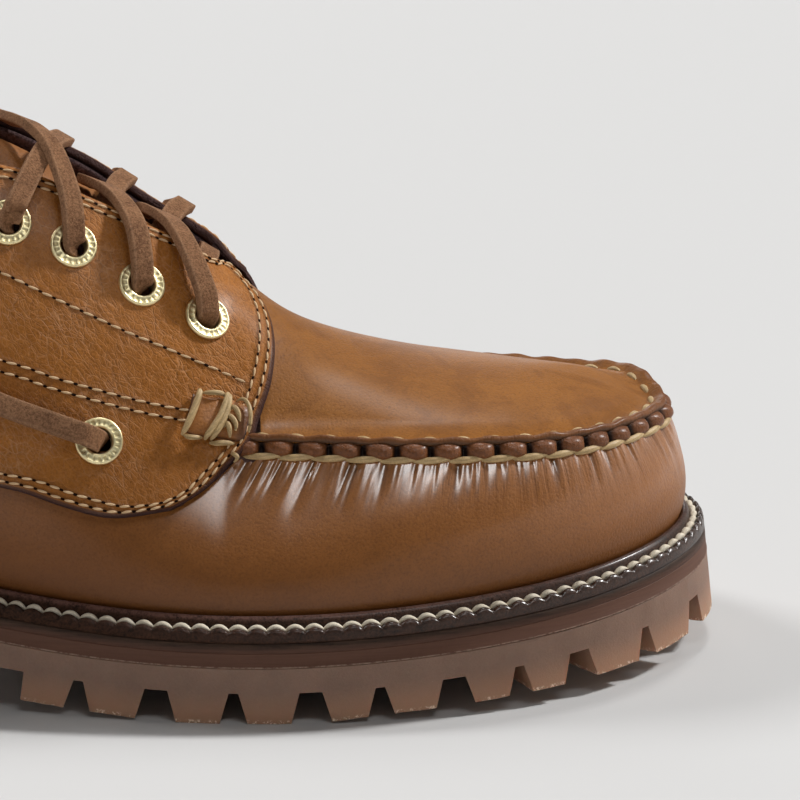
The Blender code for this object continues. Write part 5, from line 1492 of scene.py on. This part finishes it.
def carve(piece, cutters, rounding):
    """Cuts the tools' forms out of a piece, softens its edges and keeps the result."""
    for tool in cutters:
        modifier = piece.modifiers.new(tool.name, "BOOLEAN")
        modifier.object, modifier.operation, modifier.solver = tool, "DIFFERENCE", "EXACT"
    bevel = piece.modifiers.new("soft edges", "BEVEL")
    bevel.width, bevel.segments, bevel.limit_method = rounding * MM, 2, "ANGLE"
    bevel.angle_limit, bevel.use_clamp_overlap = np.radians(40), True
    bpy.context.view_layer.update()
    shape = piece.evaluated_get(bpy.context.evaluated_depsgraph_get())
    mesh = bpy.data.meshes.new_from_object(shape)
    old = piece.data
    piece.modifiers.clear()
    piece.data = mesh
    bpy.data.meshes.remove(old)
    for tool in cutters:
        bpy.data.objects.remove(tool)
    places = np.zeros(len(mesh.vertices) * 3)
    mesh.vertices.foreach_get("co", places)
    places = places.reshape(-1, 3) / MM - SHIFT
    above = places[:, 2] - tread_values(places[:, 0])[:, 0] * (places[:, 0] > 0)
    ragged = np.random.default_rng(8).uniform(0, 1, (len(places), 3)) * (above < 0.6)[:, None]
    places += ragged * (0.10, 0.10, 0.22) - (ragged > 0) * (0.05, 0.05, 0)
    mesh.vertices.foreach_set("co", ((places + SHIFT) * MM).ravel())
    mesh.attributes.new("above", "FLOAT", "POINT").data.foreach_set(
        "value", above.astype(np.float32))
    piece.data.set_sharp_from_angle(angle=np.radians(32))


def edge_u(x, lateral):
    u = np.linspace(0, 11, 900) if lateral else np.linspace(PERIOD, 11, 900)
    return float(np.interp(x, sole_edge(u)[0][:, 0], u))


def groove_tool(name, u, width, length):
    """Wedge that opens toward the floor, from outside the edge inward."""
    plan, outward = edge_inset(np.array([u]), np.zeros(1))
    x, y = plan[0]
    inward = -outward[0] if x > 100 else np.array([0, -np.sign(y)])
    slope = float(ledge(x, 1))
    normal = unit(np.array([-slope, 0, 1]))
    along = unit(np.array([inward[0], inward[1], inward[0] * slope]))
    across = np.cross(normal, along)
    root = np.array([x, y, float(ledge(x))]) - normal * BODY_BOTTOM
    half, deep = width / 2, LUG_DEPTH + 6
    flare = half + deep * LUG_DRAFT
    outline = ((-half, 0), (half, 0), (flare, -deep), (-flare, -deep))
    return cutter(name, outline, root, (across, normal, along), (-6, length))


rings = [sole_ring(around_u, 0, BODY_BOTTOM + LUG_DEPTH), sole_ring(around_u, 0, BODY_BOTTOM),
         sole_ring(around_u, 0, BODY_TOP + 0.16), sole_ring(around_u, 0.16, BODY_TOP)]
rings[0][:, 2] = tread_values(rings[0][:, 0])[:, 0]
outsole = new_piece("lug_outsole", np.concatenate(rings), ring_faces(len(rings)), brown_rubber)
stations = np.linspace(-165, TREAD_START_X, 40)
slope = ledge(stations, 1)
roof = ledge(stations) - BODY_BOTTOM * np.sqrt(1 + slope ** 2)
lean = (roof[-1] + 12) * LUG_DRAFT
outline = list(zip(stations, roof)) + [(stations[-1] - lean + 12 * LUG_DRAFT, -12), (-165, -12)]
tools = [cutter("cut_waist", outline, (0, 0, 0), ((1, 0, 0), (0, 0, 1), (0, 1, 0)), (-80, 80))]
for k, (x, width) in enumerate(GROOVES):
    lateral, medial = edge_u(x, True), edge_u(x, False)
    if width == WIDE and x < 100:
        across = np.ptp(sole_edge(np.array([lateral, medial]))[0][:, 1])
        tools.append(groove_tool(f"cut_{k}", lateral, width, across + 6))
    else:
        tools += [groove_tool(f"cut_{k}_{side}", u, width, GROOVE_LENGTH)
                  for side, u in (("lateral", lateral), ("medial", medial))]
carve(outsole, tools, 0.28)
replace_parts(outsole, "outsole")

# ------------------------------------------------------------------ heel
# A separate block of the same rubber with a straight breast and its own channels.
u = np.concatenate([np.linspace(edge_u(HEEL_BREAST_X, False), PERIOD, 60)[:-1],
                    np.linspace(0, edge_u(HEEL_BREAST_X, True), 60)])
plan = sole_edge(u)[0]
slope = ledge(plan[:, 0], 1)
roof = ledge(plan[:, 0]) - (BODY_BOTTOM + 0.1) * np.sqrt(1 + slope ** 2)
lower = np.column_stack([plan[:, 0] * 1.005, plan[:, 1], np.zeros(len(u))])
upper = np.column_stack([plan, roof])
size = len(u)
faces = [(k, k + 1, size + k + 1, size + k) for k in range(size - 1)]
faces.append((size - 1, 0, size, 2 * size - 1))
faces += closing_faces(0, size, False, 1) + closing_faces(size, size, True, 1)
heel = new_piece("heel_block", np.concatenate([lower, upper]), faces, brown_rubber)
face_outward(heel.data)
tools = []
for k, (x, width) in enumerate(HEEL_GROOVES):
    half, flare = width / 2, width / 2 + (LUG_DEPTH + 12) * LUG_DRAFT
    outline = ((-half, LUG_DEPTH), (half, LUG_DEPTH), (flare, -12), (-flare, -12))
    tools.append(cutter(f"cut_heel_{k}", outline, (x, 0, 0), ((1, 0, 0), (0, 0, 1), (0, 1, 0)),
                        (-60, 60)))
carve(heel, tools, 0.3)
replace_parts(heel, "heel")

# ------------------------------------------------------------------ laces
# Flat thongs cut from oiled rawhide, suede on every face, with crisp edges.  They cross
# the throat in three rows and a run shows on each side panel.  Each strand starts in an
# eyelet.  Those of the third row end in the next one on the other side; the others end
# over the tongue, a few mm short of the edge that they would go under.
LACE_WIDTH, LACE_THICK, LACE_CORNER = 4.4, 2.0, 0.35
THROAT_MIDDLE, SIDE_MIDDLE = ((60, 2, 52), (0, 2, 76)), ((60, 2, 30), (0, 2, 44))
LACES = (
    {"lateral": ((45.7, -15.5, 84.2), (42.5, -9.5, 88.8), (39.3, -3, 90.2), (36, 3, 90.2),
                 (34.2, 6.5, 89.3)),
     "medial": ((43.9, 15.6, 86.9), (42.6, 12.4, 89.2), (41.2, 8.5, 89.2), (39.6, 2, 88.3),
                (38.5, -4, 88))},
    {"lateral": ((33.8, -14.5, 91.7), (30, -7, 95.5), (26, -1, 96.5), (22.7, 4, 96.3)),
     "medial": ((32.1, 16.9, 92.2), (30.8, 13.6, 94.8), (29.6, 9, 94.9), (28.3, 2, 94.3),
                (27.6, -3.5, 94))},
    {"lateral": ((20.6, -15, 98.6), (17.4, -7.5, 105), (14.6, -3, 107.6), (11.6, 1, 108.8),
                 (8.7, 5, 108.8), (6.2, 10, 108.2), (5.4, 15, 106.4)),
     "medial": ((19.4, 17.6, 99.6), (17.9, 14, 102.8), (16.6, 6, 104.3), (15.6, -3, 104.9),
                (14, -9.5, 103.7))},
)
LACE_BAR = ((47.5, -3, 81.2), (47.9, 1.5, 82), (47.5, 6, 81.2))
SIDE_LIFTS = (1.2, 0.8, 0.5, 0.8, 1.2)     # the side run over the panel, end to end
lace_finish = Finish("rawhide lace", Specular_IOR_Level=0.2)
nap = lace_finish.noise(0.5, 4, 0.8)
blotch = lace_finish.noise(4, 4, 0.65, 0.6)
edge_mark = lace_finish.mark("edge")            # 0 mid face, 1 at the corners
colour = lace_finish.blend((nap * 2.2 + blotch * 0.9 - 1.15).limit(), (0.120, 0.050, 0.022),
                           (0.50, 0.255, 0.125))
# Painted highlight along the lace's rounded corners.
colour = lace_finish.blend(edge_mark.step(0.7, 1.0) * nap * 0.35, colour, (0.60, 0.36, 0.21))
rawhide = lace_finish.done(colour, 0.85, nap * 0.55 + blotch * 0.10)
LACE_LIFT, LACE_ON_FACING = OUTER_LIFT + 1.4, OUTER_LIFT + 1.1
CREST_U = (15.945, 16.265, 16.65)              # u where each medial lace turns over the edge

flat_x, flat_y = LACE_WIDTH / 2 - LACE_CORNER, LACE_THICK / 2 - LACE_CORNER
section, edge_share = [], []
for cx, cy, first in ((1, 1, 0), (-1, 1, 1), (-1, -1, 2), (1, -1, 3)):
    for k in range(4):
        angle = (first + k / 3) * np.pi / 2
        section.append((cx * flat_x + LACE_CORNER * np.cos(angle),
                        cy * flat_y + LACE_CORNER * np.sin(angle)))
        edge_share.append(1.0)
    if cy * cx > 0:
        for share in (0.25, 0.5, 0.75):
            section.append((cx * flat_x * (1 - 2 * share), cy * LACE_THICK / 2))
            edge_share.append(0.4 if share != 0.5 else 0.0)
section, edge_share = np.array(section), np.array(edge_share)


def thong(name, points, middle, replaced, steps=9):
    """Flat lace swept along a smooth run, its flat side facing away from a line."""
    path = smooth_run(points, steps)
    front, back = np.array(middle, float)
    share = ((path[:, 0] - front[0]) / (back[0] - front[0]))[:, None]
    away = path - (front + (back - front) * share)
    away[:, 0] = 0.6 * away[:, 2]
    along = unit(np.gradient(path, axis=0))
    side = unit(np.cross(along, away))
    for _ in range(4):
        side[1:-1] = unit(side[:-2] + 2 * side[1:-1] + side[2:])
        side = unit(side - along * (side * along).sum(1, keepdims=True))
    normal = np.cross(side, along)
    sections = path[:, None] + side[:, None] * section[None, :, :1] + \
        normal[:, None] * section[None, :, 1:]
    lace = loft(name, sections, rawhide, {
        "edge": np.tile(edge_share, (len(path), 1))})
    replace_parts(lace, replaced)
    return lace


def from_hole(name, toward, deep=-2.6):
    """Points of a lace from inside an eyelet up over its rim on the way to a point."""
    point, normal = eyelet_places[name]
    way = np.array(toward) - point
    way = unit(way - normal * (way @ normal))
    return [point + way * a + normal * b for a, b in
            ((-0.2, deep), (0.0, -0.6), (0.75, 1.1), (2.6, 2.1), (4.9, 2.9))]


def up_the_far_side(number):
    """A medial lace from its hole, lying on the facing until it turns over the top edge."""
    (u, v), middle = EYELETS["medial"][number], list(LACES[number]["medial"])
    crest = CREST_U[number]
    flat = lifted(np.array([u * 0.25 + crest * 0.75, crest, crest, crest]),
                  np.array([v + 0.05, v + 0.12, 1.93, 1.98]), LACE_ON_FACING)[0]
    return from_hole(f"stay_medial_{number + 1}", middle[0])[:3] + list(flat) + middle[1:]


for number in range(3):
    for side, other in (("lateral", "medial"), ("medial", "lateral")):
        middle = list(LACES[number][side])
        if side == "medial":
            points = up_the_far_side(number)
        else:
            points = from_hole(f"stay_{side}_{number + 1}", middle[0]) + middle
        if number == 2:
            points += from_hole(f"stay_{other}_{number + 2}", middle[-1])[::-1]
        thong(f"lace_{number + 1}_{side}", points, THROAT_MIDDLE, f"lace_crossing_{number + 1}")
thong("lace_bar_piece", LACE_BAR, THROAT_MIDDLE, "lace_bar", 12)
for side in ("lateral", "medial"):
    (u1, v1), (u2, v2) = SIDE_EYELETS[side]
    lifts = np.array(SIDE_LIFTS) + LACE_LIFT
    share = np.linspace(0.08, 0.92, 5)
    run = lifted(u1 + (u2 - u1) * share, v1 + (v2 - v1) * share, lifts)[0]
    points = from_hole(f"side_{side}_1", run[0])[:4] + list(run) + \
        from_hole(f"side_{side}_2", run[-1])[:4][::-1]
    thong(f"lace_side_run_{side}", points, SIDE_MIDDLE, f"lace_side_{side}")
